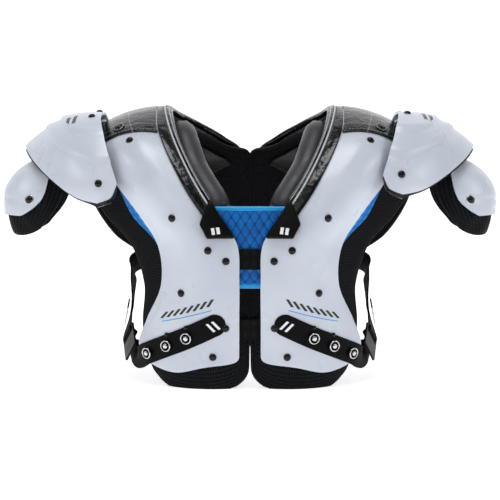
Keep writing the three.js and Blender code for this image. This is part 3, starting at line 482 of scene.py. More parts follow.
def tube(name, path, out, radius, material, sign, sides, closed_path=False, flat=1.0):
    """A round cord along a path: each ring is radius (cos a side + sin a up), where side is square
    to the path and to the given outward direction, and up to both."""
    path = np.asarray(path, float)
    ahead = np.roll(path, -1, axis=0) - np.roll(path, 1, axis=0)
    if not closed_path:
        ahead[0], ahead[-1] = path[1] - path[0], path[-1] - path[-2]
    ahead = unit(ahead)
    side = unit(np.cross(np.asarray(out, float), ahead))
    up = np.cross(ahead, side)
    a = np.linspace(0, 2 * math.pi, sides, endpoint=False)[None, :, None]
    radius = np.broadcast_to(radius, len(path))[:, None, None]
    points = path[:, None] + radius * (np.cos(a) * side[:, None] + flat * np.sin(a) * up[:, None])
    if closed_path:
        points = np.concatenate([points, points[:1]])
        return merged(skin(name, points, material, sign, closed=True))
    return skin(name, points, material, sign, closed=True, ends=True)


binding_tape, tree, shader = finish_named(
    "woven_binding_tape_black", "#08090A", 0.55, Specular_IOR_Level=0.15
)
bumped(shader, noise(tree, object_place(tree), 1.2, 3), 0.15)
TAPE_RADIUS = 2.2
u, (v, above) = eased(160)[:, None], ring_round(56)
full = rounded(v, 3.2) * rounded(u, 18)  # superelliptic across and along
s, across = pad_place(u * np.ones_like(v), v * np.ones_like(u))
points = on_form(s, across, PAD_LIFT - PAD_THICK / 2 * (1 - above * full))
points[..., 2] = np.maximum(points[..., 2], 0)
# once round the liner's edge, without the points that the corners would repeat
loop_u = np.concatenate([np.linspace(0, 1, 200), np.ones(30), np.linspace(1, 0, 200), np.zeros(30)])
loop_v = np.concatenate([np.zeros(200), eased(30), np.ones(200), 1 - eased(30)])
keep = np.concatenate([[True], (np.diff(loop_u) != 0) | (np.diff(loop_v) != 0)])
keep[-1] = False
s, a = pad_place(loop_u[keep], loop_v[keep])
edge = on_form(s, a, PAD_LIFT - PAD_THICK / 2)
edge[:, 2] = np.maximum(edge[:, 2], TAPE_RADIUS)
out = normal_of(form, s, a)
for side, sign in SIDES.items():
    pad = merged(skin(f"liner_pad_{side}", points, spacer_mesh, sign, closed=True, flip=True), 0.3)
    fitted(pad, "black_mesh", f"body_pad_{side}")
    tape = tube(f"liner_binding_{side}", edge, out, TAPE_RADIUS, binding_tape, sign, 8, True, 1.6)
    fitted(tape, "black_mesh")


# The flaps inside the back of the neck: thin coated vinyl sewn to the liners.
flap_vinyl, tree, shader = finish_named("coated_vinyl_black", "#08090A", 0.3, IOR=1.48)
place = object_place(tree)
grain = node(tree, "ShaderNodeTexVoronoi", {"Vector": place, "Scale": 1000 / 1.5}).outputs["Distance"]
creases = noise(tree, place, 26, 3, 0.55)
bumped(shader, both(tree, both(tree, creases, 6.0), grain, "ADD"), 0.22)
worn(shader, creases, 0.2, 0.36)
FLAP_WALL = 2.0
section = np.linspace(10, 13, 41)[:, None]
share = np.linspace(0.06, 0.34, 13)[None, :]
points = on_form(section, share, PAD_LIFT - PAD_THICK - GAP)
for side, sign in SIDES.items():
    flap = solid(skin(f"neck_flap_vinyl_{side}", points, flap_vinyl, sign), -FLAP_WALL, 0.6)
    fitted(flap, "black_vinyl", f"neck_flap_{side}")


# The sternum panel: blue polyester quilted in tall diamonds over thin foam, bound in bright blue
# tape, between the arches. Two elastic straps cross it and the gap below, and two more the back.
ELASTIC, ELASTIC_HEIGHT = 1.8, 24.0
STERNUM_HALF, STERNUM_THICK, STERNUM_HEIGHT = 42.0, 6.0, 92.0


def across_middle(x, z, near, lift):
    """The form's point above a given |x| and z, found by stepping section and share towards them;
    nearer the middle than the arch's edge it keeps the edge's depth."""
    x, z = paired(x, z)
    section, across = np.full(x.shape, float(near)), np.zeros(x.shape)
    for _ in range(12):
        point = form(section, across)
        up = (form(section + STEP, across) - form(section - STEP, across))[..., 2]
        out = (form(section, across + STEP) - form(section, across - STEP))[..., 0]
        across = np.maximum(across + (np.abs(x) - point[..., 0]) / out * 2 * STEP, 0)
        section = section + (z - point[..., 2]) / up * 2 * STEP
    point = on_form(section, across, lift)
    return np.stack([x, point[..., 1], z], axis=-1)


quilt_cloth, tree, shader = finish_named("quilted_polyester_blue", "#0566B2", 0.5, Specular_IOR_Level=0.25)
place = cloth_place(tree)
fine = noise(tree, place, 0.9, 2)
soil = noise(tree, object_place(tree), 30, 2)
DIAMOND = (11.0, 17.0)  # mm, width and height of a quilted diamond
parts = node(tree, "ShaderNodeSeparateXYZ", {"Vector": object_place(tree)})
wide = both(tree, parts.outputs["X"], 1000 / DIAMOND[0] * math.pi)
tall = both(tree, parts.outputs["Z"], 1000 / DIAMOND[1] * math.pi)
waves = [
    node(tree, "ShaderNodeMath", {0: both(tree, wide, tall, kind)}, operation="SINE").outputs[0]
    for kind in ("ADD", "SUBTRACT")
]
seam = node(tree, "ShaderNodeMath", {0: both(tree, *waves)}, operation="ABSOLUTE").outputs[0]
cloth_color = blended(tree, spread(tree, soil, 0.3, 0.7, 0, 1), "#005AA6", "#0474C8")
# The cloth is coloured darker along the quilting lines, where the puffed diamonds dip: painted shade in
# those valleys.
colored(shader, blended(tree, spread(tree, seam, 0.0, 0.3, 0, 1), "#003E7C", cloth_color))
bumped(shader, fine, 0.12)
STERNUM_MIDDLE = float(row(SECTIONS, 3.86)[2])
u, (v, above) = eased(120)[:, None], ring_round(140)
x = (2 * v - 1) * STERNUM_HALF
z = STERNUM_MIDDLE + (u - 0.5) * STERNUM_HEIGHT
ridge = np.abs(np.sin(math.pi * (x / DIAMOND[0] + z / DIAMOND[1])))
ridge = ridge * np.abs(np.sin(math.pi * (x / DIAMOND[0] - z / DIAMOND[1])))
full = rounded(v, 6) * rounded(u, 8)
band = STERNUM_MIDDLE + STERNUM_HEIGHT / 2 - 12  # above this the top is a plain padded band
top_seam = ramp(z, band, band + 1)
puff = 2.0 * ridge**0.5 * (1 - top_seam) + 1.6 * top_seam
lift = -2 * SOFT_GAP - ELASTIC - STERNUM_THICK / 2 + above * full * (STERNUM_THICK / 2 - 2.0 + puff)
points = across_middle(x * np.ones_like(z), z * np.ones_like(x), 3.86, lift)
panel = merged(skin("sternum_quilt", points, quilt_cloth, closed=True, flip=True), 0.3)
fitted(panel, "blue_fabric", "sternum_panel")

bright_tape, tree, shader = finish_named(
    "folded_binding_tape_blue", "#109CE0", 0.4, Specular_IOR_Level=0.35
)
bumped(shader, noise(tree, object_place(tree), 1.0, 3), 0.15)
for name, end in (("top", 1), ("bottom", -1)):
    x = np.linspace(-STERNUM_HALF + 1, STERNUM_HALF - 1, 60)
    z = STERNUM_MIDDLE + end * (STERNUM_HEIGHT / 2 - 1.5) + 0 * x
    path = across_middle(x, z, 3.86, -2 * SOFT_GAP - ELASTIC - STERNUM_THICK / 2)
    tape = tube(f"sternum_binding_{name}", path, (0, 0, 1), 3.0, bright_tape, 1, 12, False, 1.15)
    fitted(tape, "blue_fabric")

elastic_web, tree, shader = finish_named("woven_elastic_black", "#08090A", 0.7, Specular_IOR_Level=0.12)
CORD_MM, PICK_MM = 2.2, 1.5  # the elastic's rubber cords and cross threads, twice as wide as real
woven = woven_bands(tree, cloth_place(tree), PICK_MM, CORD_MM)
# The colour follows the weave's bump, darker between the cords and threads and lighter on them: painted
# shade and painted highlight.
colored(shader, blended(tree, woven, "#020203", "#0F1013"))
bumped(shader, woven, 0.25)
STRAPS = {  # section and half length
    "chest_strap_upper": (3.56, 40),
    "chest_strap_lower": (1.72, 40),
    "back_strap_upper": (LAST - 4.05, 38),
    "back_strap_lower": (LAST - 1.7, 38),
}
for name, (section, half) in STRAPS.items():
    middle = float(row(SECTIONS, section)[2])
    z = middle + np.linspace(-0.5, 0.5, 9)[:, None] * ELASTIC_HEIGHT
    x = np.linspace(-half, half, 49)[None, :]
    points = across_middle(x + 0 * z, z + 0 * x, section, -SOFT_GAP)
    strap = skin(name + "_webbing", points, elastic_web, flip=section > LAST / 2)
    fitted(solid(strap, -ELASTIC, 0.5), "black_webbing", name)


# The corner wedges: injection-moulded black covers, riveted over the chest corners of the arches
# where the collar trim ends, with a bevelled edge.
moulded_nylon, tree, shader = finish_named("moulded_nylon_black", "#040405", 0.36, Specular_IOR_Level=0.14)
place = object_place(tree)
worn(shader, noise(tree, place, 18, 3), 0.32, 0.46)
bumped(shader, noise(tree, place, 0.8, 2), 0.04)
WEDGE = np.array([(5.37, -0.05), (4.68, 0.25), (4.22, 0.29), (4.14, 0.0)])
WEDGE_LIFT, WEDGE_TOP = 1.2, 6.1
t = np.linspace(0, 1, 24, endpoint=False)[None, :, None]
soft = (WEDGE[:, None] * (1 - t) + np.roll(WEDGE, -1, axis=0)[:, None] * t).reshape(-1, 2)
for _ in range(3):
    soft = 0.25 * np.roll(soft, 1, axis=0) + 0.5 * soft + 0.25 * np.roll(soft, -1, axis=0)
middle = soft.mean(axis=0)
levels = [(0.02, 0), (0.5, 0), (0.97, 0), (1, 0.6), (1, 3.4), (0.985, 4.4), (0.93, 5.6), (0.9, 5.9)]
levels += [(0.82, 6.0), (0.4, WEDGE_TOP), (0.02, WEDGE_TOP)]
rings = []
for keep, lift in levels:
    s, t = (middle + (soft - middle) * keep).T
    rings.append(on_form(s, t, ARCH_WALL + WEDGE_LIFT + lift + rib(s, t)))
for side, sign in SIDES.items():
    wedge = skin(f"corner_wedge_{side}", np.array(rings), moulded_nylon, sign, closed=True, ends=True)
    fitted(wedge, "black_moulding", f"wedge_{side}")


# The collar trim: glossy coated vinyl folded over the arch's neck edge, rolled on the neck side
# and sewn down. Light grey cords along its outer seam and inside the roll are painted highlights,
# drawn for the glare lines along the glossy roll.
TRIM_TOP, TRIM_OUTER = ARCH_WALL + 0.6, 13.2
TRIM = np.array(
    [(-12.8, TRIM_TOP), (0.4, TRIM_TOP), (0.4, -1.2), (3, -2.3), (6, -2.2), (7.8, -1.0), (8.5, 0.8)]
    + [(8.3, 2.4), (7.2, 3.9), (5.6, 4.7), (4.2, 5.6), (2.2, 6.1), (0.6, 5.7), (-0.6, 5.2), (-2.4, 5.6)]
    + [(-4.6, 5.3), (-8, 5.4), (-12.2, 5.3), (-TRIM_OUTER, 4.6)]
)
TRIM_SEAM = -3.4  # past the neck edge, in mm


def trim_start(share):
    """The section where the trim begins: it follows the wedge's upper edge."""
    (s, t), (next_s, next_t) = WEDGE[:2]
    return s + (next_s - s) * (share - t) / (next_t - t)


def flange_share(section):
    """The flange narrows over the shoulder."""
    return 1.0 - 0.3 * ramp(section, 7.2, 8.5) * (1 - ramp(section, 10.0, 11.5))


TRIM_END, WEDGE_ROOM = 13.5, 90.0  # a section; the form's width in mm at the wedge


def beside_neck(past, lift):
    """A line that runs past mm outside the neck edge of the form, at a lift above it."""
    start = trim_start(-past / WEDGE_ROOM)
    s = start + (TRIM_END - start) * np.linspace(0, 1, 150)
    across = -past / form_width(s) * np.where(past < -1, flange_share(s), 1.0)
    return on_form(s, across, lift + rib(s, across)), normal_of(form, s, across)


def close_to(tree, value, at_mm, reach_mm):
    """1 where the value is within reach of a place."""
    inputs = {0: value, 1: at_mm / 1000, 2: reach_mm / 1000}
    return node(tree, "ShaderNodeMath", inputs, operation="COMPARE").outputs[0]


def stitches(tree, along, across, at_mm, pitch_mm=4.2, thread_mm=0.75):
    """1 on a row of stitches: within half a thread of a line, for two thirds of each pitch."""
    near = close_to(tree, across, at_mm, thread_mm)
    turn = both(tree, along, 1000 / pitch_mm)
    share = node(tree, "ShaderNodeMath", {0: turn}, operation="FRACT").outputs[0]
    return both(tree, near, both(tree, share, 0.66, "LESS_THAN"))


# The same vinyl where it is sewn: the thread pulls it into small glossy puckers.
sewn_vinyl, tree, shader = finish_named("coated_vinyl_black_sewn", "#050607", 0.2, Specular_IOR_Level=0.4)
walk = np.concatenate([[0], np.cumsum(np.linalg.norm(np.diff(TRIM, axis=0), axis=1))])
upper = slice(7, len(TRIM))
seam_walk = float(np.interp(-TRIM_SEAM, -TRIM[upper, 0], walk[upper]))
parts = node(tree, "ShaderNodeSeparateXYZ", {"Vector": cloth_place(tree)})
seam_at = seam_walk - walk[len(TRIM) // 2]
thread = stitches(tree, parts.outputs["Y"], parts.outputs["X"], seam_at, 4.6, 0.8)
beside = close_to(tree, parts.outputs["X"], seam_at, 3.2)
puckers = noise(tree, object_place(tree), 3.4, 3, 0.6)
pucker_height = both(tree, both(tree, beside, puckers), 5.0)
soft_creases = noise(tree, object_place(tree), 20, 3, 0.5)
height = both(tree, both(tree, pucker_height, thread, "ADD"), both(tree, soft_creases, 4.0), "ADD")
bumped(shader, height, 0.55)
colored(shader, blended(tree, thread, "#050607", "#8A8C91"))

# Painted highlights: light grey cords laid where the glossy roll shows glare lines.
highlight_cord_vinyl, tree, shader = finish_named("painted_highlight_cord_light_grey", "#C4C8CF", 0.35)
bumped(shader, noise(tree, object_place(tree), 1.5, 2), 0.08)
points = np.stack([beside_neck(past, lift)[0] for past, lift in TRIM], axis=1)
for side, sign in SIDES.items():
    trim = skin(f"collar_binding_{side}", points, sewn_vinyl, sign, closed=True, ends=True)
    trim.data.set_sharp_from_angle(angle=math.radians(60))
    fitted(trim, "black_vinyl", f"collar_trim_{side}")
    # The outer and inner light grey cords: painted highlights along the roll.
    for name, past, lift, radius in (("outer", -0.4, 6.0, 1.0), ("inner", 4.0, 5.5, 0.5)):
        path, out = beside_neck(past, lift)
        cord = tube(f"collar_highlight_cord_{name}_{side}", path, out, radius, highlight_cord_vinyl, sign, 8)
        fitted(cord, "black_vinyl")


# The neck rolls: tubes of soft grey vinyl stuffed with foam, sewn inside the neck edge from behind
# the wedge to the top of the shoulder, and gathered at the upper end.
ROLL_RADIUS = 17.5
ROLL_STOPS = np.array(  # section, and its middle past the neck edge and below the form
    [(5.2, 14.0, 15.0), (5.9, 25.0, 18.0), (6.9, 28.5, 20.0), (7.9, 24.5, 20.0), (8.75, 21.5, 20.0)]
)
grey_vinyl, tree, shader = finish_named("soft_vinyl_grey", "#35343A", 0.45, Specular_IOR_Level=0.3)
folds = noise(tree, object_place(tree), 17, 3, 0.5)
bumped(shader, folds, 0.5, 0.4)
tree.links.new(spread(tree, folds, 0.35, 0.65, 0.36, 0.5), shader.inputs["Roughness"])
share = np.linspace(0, 1, 90)
s, aside, below = ROLL_STOPS.T
path = row(on_form(s, -aside / form_width(s), -below), share * 4)
ahead = unit(np.gradient(path, axis=0))
beside = unit(np.cross([1.0, 0, 0], ahead))
up = np.cross(ahead, beside)
a = np.linspace(0, 2 * math.pi, 48, endpoint=False)[None, :]
gather = ramp(share, 0.86, 1.0)[:, None]
radius = ROLL_RADIUS * (0.12 + 0.88 * rounded(share, 5)[:, None])
radius = radius * (1 - 0.1 * gather * (0.5 + 0.5 * np.cos(9 * a)))
radius = radius * (1 + 0.006 * np.sin(31 * share[:, None] + 2 * np.cos(a)))
around = np.cos(a)[..., None] * beside[:, None] + np.sin(a)[..., None] * up[:, None]
points = path[:, None] + radius[..., None] * around
for side, sign in SIDES.items():
    roll = skin(f"neck_roll_vinyl_{side}", points, grey_vinyl, sign, closed=True, ends=True)
    fitted(roll, "grey_vinyl", f"neck_roll_{side}")


# The shoulder straps: glossy vinyl, 2.5 mm thick, over the top of each arch, sewn in a row along
# both edges and across the inner end. They carry the shoulder plates.
STRAP_LIFT, STRAP_THICK = ARCH_WALL + GAP, 2.5
wet_vinyl, tree, shader = finish_named("patent_vinyl_black", "#050607", 0.16, Specular_IOR_Level=0.45)
bumped(shader, noise(tree, object_place(tree), 11, 4, 0.6), 1.6, 0.8)
parts = node(tree, "ShaderNodeSeparateXYZ", {"Vector": cloth_place(tree)})
x_socket, y_socket = parts.outputs["X"], parts.outputs["Y"]
front_row, back_row = (stitches(tree, x_socket, y_socket, at_mm) for at_mm in (4.0, 17.0))
end_row = stitches(tree, y_socket, x_socket, -6.0)
rows_sewn = both(tree, both(tree, front_row, back_row, "MAXIMUM"), end_row, "MAXIMUM")
colored(shader, blended(tree, rows_sewn, "#08090B", "#6C6F74"))
STRAP_FROM, STRAP_TO = 7.25, 9.5  # sections
s = np.linspace(STRAP_FROM, STRAP_TO, 60)[:, None]
share = np.linspace(0, 1, 40)[None, :]
start = (TRIM_OUTER * flange_share(s) + 1.0) / form_width(s)
strap_across = start + (0.85 - start) * share
points = on_form(s, strap_across, STRAP_LIFT)
for side, sign in SIDES.items():
    strap = skin(f"shoulder_strap_vinyl_{side}", points, wet_vinyl, sign)
    fitted(solid(strap, STRAP_THICK, 0.8), "black_vinyl", f"shoulder_strap_{side}")


# The shoulder plates: terraced domes of the same white plastic, each over a black vinyl liner
# that shows as a border. They hang from the straps, at slightly different angles.
PLATE_WALL, PLATE_LINER, PLATE_STEP = 3.0, 2.6, 2.6
REACH, HALF, DROP = 100.0, 112.0, 104.0
PLATE = np.array(
    [  # neck edge X, Y, Z; rim X, Y, Z; bulge, from the seat, from the front end to the back end
        (-0.26, -1.06, -0.645, -0.04, -1.06, -0.855, 0.03),
        (-0.17, -0.95, -0.4, 0.23, -0.96, -0.795, 0.08),
        (-0.08, -0.7, -0.155, 0.515, -0.72, -0.65, 0.11),
        (-0.02, -0.38, -0.01, 0.8, -0.37, -0.46, 0.12),
        (0.0, 0.0, 0.0, 0.94, 0.0, -0.325, 0.12),
        (-0.01, 0.375, -0.05, 0.8, 0.37, -0.485, 0.12),
        (-0.03, 0.67, -0.22, 0.6, 0.71, -0.665, 0.11),
        (-0.09, 0.89, -0.52, 0.32, 0.92, -0.825, 0.08),
        (-0.12, 0.985, -0.77, 0.02, 1.0, -0.895, 0.03),
    ]
) * (REACH, HALF, DROP, REACH, HALF, DROP, REACH)
SEAT_LIFT = ARCH_WALL + GAP + STRAP_THICK + 3 * GAP + PLATE_LINER + 2 * GAP
TOP_SECTION = 9.05  # the top of the shoulder, where the plates sit and the caps hang
seat = on_form(TOP_SECTION, 0.735, SEAT_LIFT)
SWING = {"left": -1.5, "right": 3.5}  # degrees about the X axis, below the top of the shoulder


def plate(turn, out):
    """The plate's inner face: turn goes from its front end (-1) to its back end (1), out from the
    neck edge (0) to the rim (1), bulged as the body form is."""
    turn, out = paired(turn, out)
    here, ahead = (row(PLATE, (t + 1) / 2 * (len(PLATE) - 1)) for t in (turn, turn + STEP))
    edges = (seat + r[..., i : i + 3] for r in (here, ahead) for i in (0, 3))
    return bulged(*edges, here[..., 6:7], out)


def terraces(turn, out):
    """Two steps down round the seat, each with a low bead along its upper edge."""
    away = np.hypot(turn / 0.66, out / 0.6)
    steps = 2 - ramp(away, 0.74, 0.82) - ramp(away, 1.1, 1.18)
    return PLATE_STEP * steps + 0.7 * bell((away - 0.7) / 0.05) + 0.7 * bell((away - 1.06) / 0.05)


def on_plate(turn, out, lift):
    return lifted(plate, turn, out, lift)


def swung(points, side):
    """Turned about the X axis by the side's swing, round a point below the seat."""
    angle = math.radians(SWING[side])
    pivot = np.array([0, seat[1], seat[2] - 0.3 * HEIGHT])
    c, s = math.cos(angle), math.sin(angle)
    return (np.asarray(points) - pivot) @ np.array([[1, 0, 0], [0, c, s], [0, -s, c]]) + pivot


def round_end(turn, out):
    """The plate's two ends are rounded: there a row runs further, most of all halfway out."""
    return turn * (1 + 0.28 * out * np.maximum(1 - out, 0) * turn**8)


out = np.linspace(0, 1, 110)[None, :]
along = (2 * eased(150) - 1)[:, None]
turn = round_end(along, out)
proud = 4.0 / HALF
liner_out = (1 + proud * (1 + 5 * along**8)) * out
liner_turn = round_end(along * (1 + proud / 2), out)
for side, sign in SIDES.items():
    points = swung(on_plate(turn, out, terraces(turn, out)), side)
    dome = skin(f"plate_dome_{side}", points, shell_plastic, sign)
    fitted(solid(dome, PLATE_WALL, 0.9), "white_shell", f"plate_{side}")
    points = swung(on_plate(liner_turn, liner_out, -2 * GAP), side)
    liner = skin(f"plate_lining_{side}", points, flap_vinyl, sign)
    fitted(solid(liner, -PLATE_LINER, 0.9), "black_vinyl", f"plate_liner_{side}")


# The upper-arm caps: white half shells hung under the plates on webbing, each with its own foam
# pad in black mesh, which shows below and behind the cap.
CAP = np.array(
    [  # half axes out and along, and height below the top
        (0.2, 0.28, 0.15),
        (0.37, 0.52, 0.25),
        (0.7, 0.8, 0.42),
        (0.9, 0.93, 0.61),
        (0.97, 1.0, 0.8),
        (0.98, 1.02, 1.0),
        (0.93, 0.97, 1.2),
        (0.86, 0.93, 1.4),
    ]
) * (65.0, 54.0, 87.0)
CAP_WALL, CAP_PAD = 2.6, 15.0
cap_middle = np.array([1.2 * SPAN, 0.03 * DEPTH + FORM_Y, 0.858 * HEIGHT])


def cap(turn, down):
    """The cap's inner face: half ellipses round the arm, whose half axes and height follow the
    table down from the top; turn is the angle from straight outwards."""
    turn, down = paired(turn, down)
    out, along, height = np.moveaxis(row(CAP, down / 0.2), -1, 0)
    return cap_middle + np.stack([np.cos(turn) * out, np.sin(turn) * along, -height], -1)


def on_cap(turn, down, lift):
    return lifted(cap, turn, down, lift)


def cap_relief(turn, down):
    """The cap's moulded relief: raised along its middle, and drawn in where its rivet sits."""
    raised = 2.2 * bell((np.abs(turn) - 0.15) / 0.42) * ramp(down, 0.1, 0.35) * (1 - ramp(down, 0.72, 0.95))
    return raised - 0.9 * bell((down - 0.78) / 0.05)


CAP_REACH, CAP_PAD_REACH = 84, 106  # degrees each way round the arm, at the top
cap_down = np.sin(np.linspace(0, math.pi / 2, 80))[None, :]
cap_turn = np.radians(CAP_REACH - 32 * cap_down**6) * np.linspace(-1, 1, 90)[:, None]
u, (v, above) = eased(110)[:, None], ring_round(56)
full = rounded(u, 5) * rounded(v, 4)
CAP_PAD_TOP, CAP_PAD_END = 0.22, 1.32  # down the cap
cap_pad_down = CAP_PAD_TOP + (CAP_PAD_END - 0.12 * np.abs(2 * u - 1) ** 4 - CAP_PAD_TOP) * v
cap_pad_turn = np.radians(CAP_PAD_REACH - 34 * v**2.6) * (2 * u - 1)
lumps = 1.6 * np.sin(9 * cap_pad_turn + 4 * v) * np.sin(7 * v + 2 * cap_pad_turn) * full**2
cap_pad_lift = -SOFT_GAP - CAP_PAD / 2 * (1 - above * full) + np.minimum(lumps * above, 0.6)
cap_points = on_cap(cap_turn, cap_down, cap_relief(cap_turn, cap_down))
points = on_cap(cap_pad_turn, cap_pad_down, cap_pad_lift)
for side, sign in SIDES.items():
    shell = skin(f"cap_shell_{side}", cap_points, shell_plastic, sign)
    fitted(solid(shell, CAP_WALL, 0.9), "white_shell", f"shoulder_cap_{side}")
    pad = merged(skin(f"cap_foam_{side}", points, spacer_mesh, sign, closed=True, flip=True), 0.3)
    fitted(pad, "black_mesh", f"cap_pad_{side}")


def ribbon(name, line, width, wall, material, sign, across_count=9):
    """A flat strap: each row of points lies along side, square to the path and to out."""
    path, out = line[:, :3], line[:, 3:]
    side = unit(np.cross(out, np.gradient(path, axis=0)))
    share = np.linspace(-0.5, 0.5, across_count)[None, :, None]
    width = np.broadcast_to(width, len(path))[:, None, None]
    strap = skin(name, path[:, None] + side[:, None] * share * width, material, sign)
    return solid(strap, wall, min(0.45 * abs(wall), 0.8))


def through(stops, count=80):
    """count points on the Catmull-Rom curve through the stops, evenly spaced by length."""
    stops = np.asarray(stops, float)
    fine = row(stops, np.linspace(0, len(stops) - 1, 60 * len(stops)))
    far = np.concatenate([[0], np.cumsum(np.linalg.norm(np.diff(fine[:, :3], axis=0), axis=1))])
    even = np.linspace(0, far[-1], count)
    return np.stack([np.interp(even, far, fine[:, k]) for k in range(fine.shape[1])], axis=1)


def stop_on(surface, along, across, lift):
    """A stop on a surface, with its outward normal."""
    return np.concatenate([lifted(surface, along, across, lift), normal_of(surface, along, across)])


HANGER_WIDTH, HANGER_WALL = 36.0, 2.0
stops = [stop_on(form, TOP_SECTION, t, ARCH_WALL + 2 * GAP) for t in (0.86, 0.93, 1.0)]
ends = [stop_on(cap, 0.0, d, CAP_WALL + 2.5 * GAP) for d in (0, 0.1, 0.21)]
middle = 0.4 * stops[-1] + 0.6 * ends[0]
middle[2] += 4
middle[3:] = (0, 0, 1)
line = through([*stops, middle, *ends])
for side, sign in SIDES.items():
    name = f"cap_hanger_webbing_{side}"
    hanger = ribbon(name, line, HANGER_WIDTH, HANGER_WALL, elastic_web, sign)
    fitted(hanger, "black_webbing", f"cap_hanger_{side}")


# The belts: smooth black rubber, one inch wide, rounded at the free end, with nickel eyelets.
# They lie across the chest, turn the arch's corner and end at the buckles.
BELT_WIDTH, BELT_THICK = 26.0, 3.0
rubber, tree, shader = finish_named(
    "vulcanised_rubber_black", "#030304", 0.4, Specular_IOR_Level=0.09
)
place = object_place(tree)
worn(shader, noise(tree, place, 14, 4), 0.4, 0.58)
bumped(shader, noise(tree, place, 1.1, 2), 0.05)
nickel, tree, shader = finish_named("plated_steel_nickel", "#C8CACD", 0.2, Metallic=1.0)
worn(shader, noise(tree, object_place(tree), 5, 3), 0.14, 0.3)
BELT_ON_ARCH = [(2.04, 0.13), (1.8, 0.32), (1.52, 0.5), (1.17, 0.72), (0.9, 0.93)]
BELT_SIDE = [(0.672, -0.635, 0.094), (0.697, -0.55, 0.112), (0.707, -0.465, 0.14)]
WEB_SIDE = [(0.735, -0.16, 0.26), (0.742, 0.05, 0.31), (0.748, 0.28, 0.35), (0.76, 0.49, 0.38)]


def at_side(x, y, z):
    """A stop beside the body, with its rough outward direction."""
    out = unit(np.array([(x - 0.3) * SPAN, (y + 0.1) * DEPTH, 0]))
    return np.concatenate([[x * SPAN, y * DEPTH + FORM_Y, z * HEIGHT], out])


belt = [stop_on(form, s, t, ARCH_WALL + 2 * GAP) for s, t in BELT_ON_ARCH]
belt = through(belt + [at_side(*stop) for stop in BELT_SIDE], 200)
belt_length = np.linalg.norm(np.diff(belt[:, :3], axis=0), axis=1).sum()
end = np.minimum(np.linspace(0, 1, 200), np.linspace(1, 0, 200)) * belt_length
half = BELT_WIDTH / 2
belt_width = 2 * np.sqrt(np.maximum(half**2 - np.maximum(half - end, 0) ** 2, 0.3))  # round ends
EYELETS = (0.308, 0.482, 0.67)


def axes_at(line, share):
    """Place, side, forward and outward at a share of a line's length."""
    i = share * (len(line) - 1)
    k = min(int(i), len(line) - 2)
    place = line[k] * (1 - (i - k)) + line[k + 1] * (i - k)
    forward = unit(line[min(k + 2, len(line) - 1), :3] - line[max(k - 1, 0), :3])
    side = unit(np.cross(place[3:], forward))
    return place[:3], side, forward, np.cross(forward, side)


def stud(name, side, profile, place, axis, material, slot="black_moulding", cad_nodes=()):
    """A turned piece on one side: a profile of (radius, height) carried round an axis."""
    axis = unit(np.asarray(axis, float))
    first = unit(np.cross(axis, [0.1, 0.3, 1.0]))
    other = np.cross(axis, first)
    a = np.linspace(0, 2 * math.pi, 28, endpoint=False)[None, :, None]
    radius, height = np.asarray(profile, float).T[..., None, None]
    points = np.asarray(place) + radius * (np.cos(a) * first + np.sin(a) * other) + height * axis
    head = skin(f"{name}_{side}", points, material, SIDES[side], closed=True, ends=True)
    fitted(head, slot, *cad_nodes)


EYELET = [(5.2, -0.3), (5.3, 0.6), (5.6, 1.0), (6.2, 1.1), (6.7, 0.7), (6.9, 0.0), (6.8, -0.3)]
SOCKET = [(5.4, 0.3), (4.6, 0.15), (3.6, 0.15), (2.9, 0.6), (2.8, 1.3)]
CORE = [(2.9, 0.2), (2.9, 1.2), (2.5, 1.7), (1.4, 2.0), (0.1, 2.1)]
KNOB = [(2.6, -0.2), (2.6, 1.6), (2.2, 2.4), (1.2, 2.9), (0.1, 3.0)]
BELT_STUDS = {"eyelet": (EYELET, nickel, "steel"), "socket": (SOCKET, rubber, "black_rubber")}
BELT_STUDS["stud_core"] = (CORE, nickel, "steel")
for side, sign in SIDES.items():
    strap = ribbon(f"belt_rubber_{side}", belt, belt_width, BELT_THICK, rubber, sign, 15)
    fitted(strap, "black_rubber", f"belt_{side}")
    for i, share in enumerate(EYELETS):
        place, beside, forward, out = axes_at(belt, share)
        for name, (profile, finish, slot) in BELT_STUDS.items():
            stud(f"belt_{name}_{i + 1}", side, profile, place + out * BELT_THICK, out, finish, slot)


# The side closures: a moulded hook plate on each belt's end, woven webbing through its slot that
# runs round the open side to the back arch, and a wire slider.
BUCKLE_LENGTH, BUCKLE_THICK, BUCKLE_AT = 34.0, 2.6, 0.93
WEB_WIDTH, WEB_WALL = 25.0, 1.8
place, beside, forward, out = axes_at(belt, BUCKLE_AT)
buckle_end = BUCKLE_LENGTH / 3 + BUCKLE_LENGTH / 2
over_bar = BELT_THICK + GAP + BUCKLE_THICK + GAP
from_belt = lambda f, o: np.concatenate([place + forward * f + out * o, out])
# from behind the hook plate's bar, over it and away
web = [from_belt(buckle_end - 12, 0.2), from_belt(buckle_end - 10, 0.8)]
web += [from_belt(buckle_end - 4.5, over_bar + 0.6), from_belt(buckle_end + 1, over_bar + 0.4)]
web += [at_side(*stop) for stop in WEB_SIDE]
WEB_SECTION = LAST - 3.85
web += [stop_on(form, WEB_SECTION, t, ARCH_WALL + SOFT_GAP) for t in (1.22, 1.1, 1.0, 0.92, 0.84)]
web = through(web, 160)
for side, sign in SIDES.items():
    strap = ribbon(f"side_webbing_{side}", web, WEB_WIDTH, WEB_WALL, elastic_web, sign)
    fitted(strap, "black_webbing", f"webbing_{side}")
for side in SIDES:
    for name, finish in (("buckle", moulded_nylon), ("slider", nickel)):
        cad_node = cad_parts[f"{name}_{side}"]
        for slot in cad_node.material_slots:
            slot.material = finish


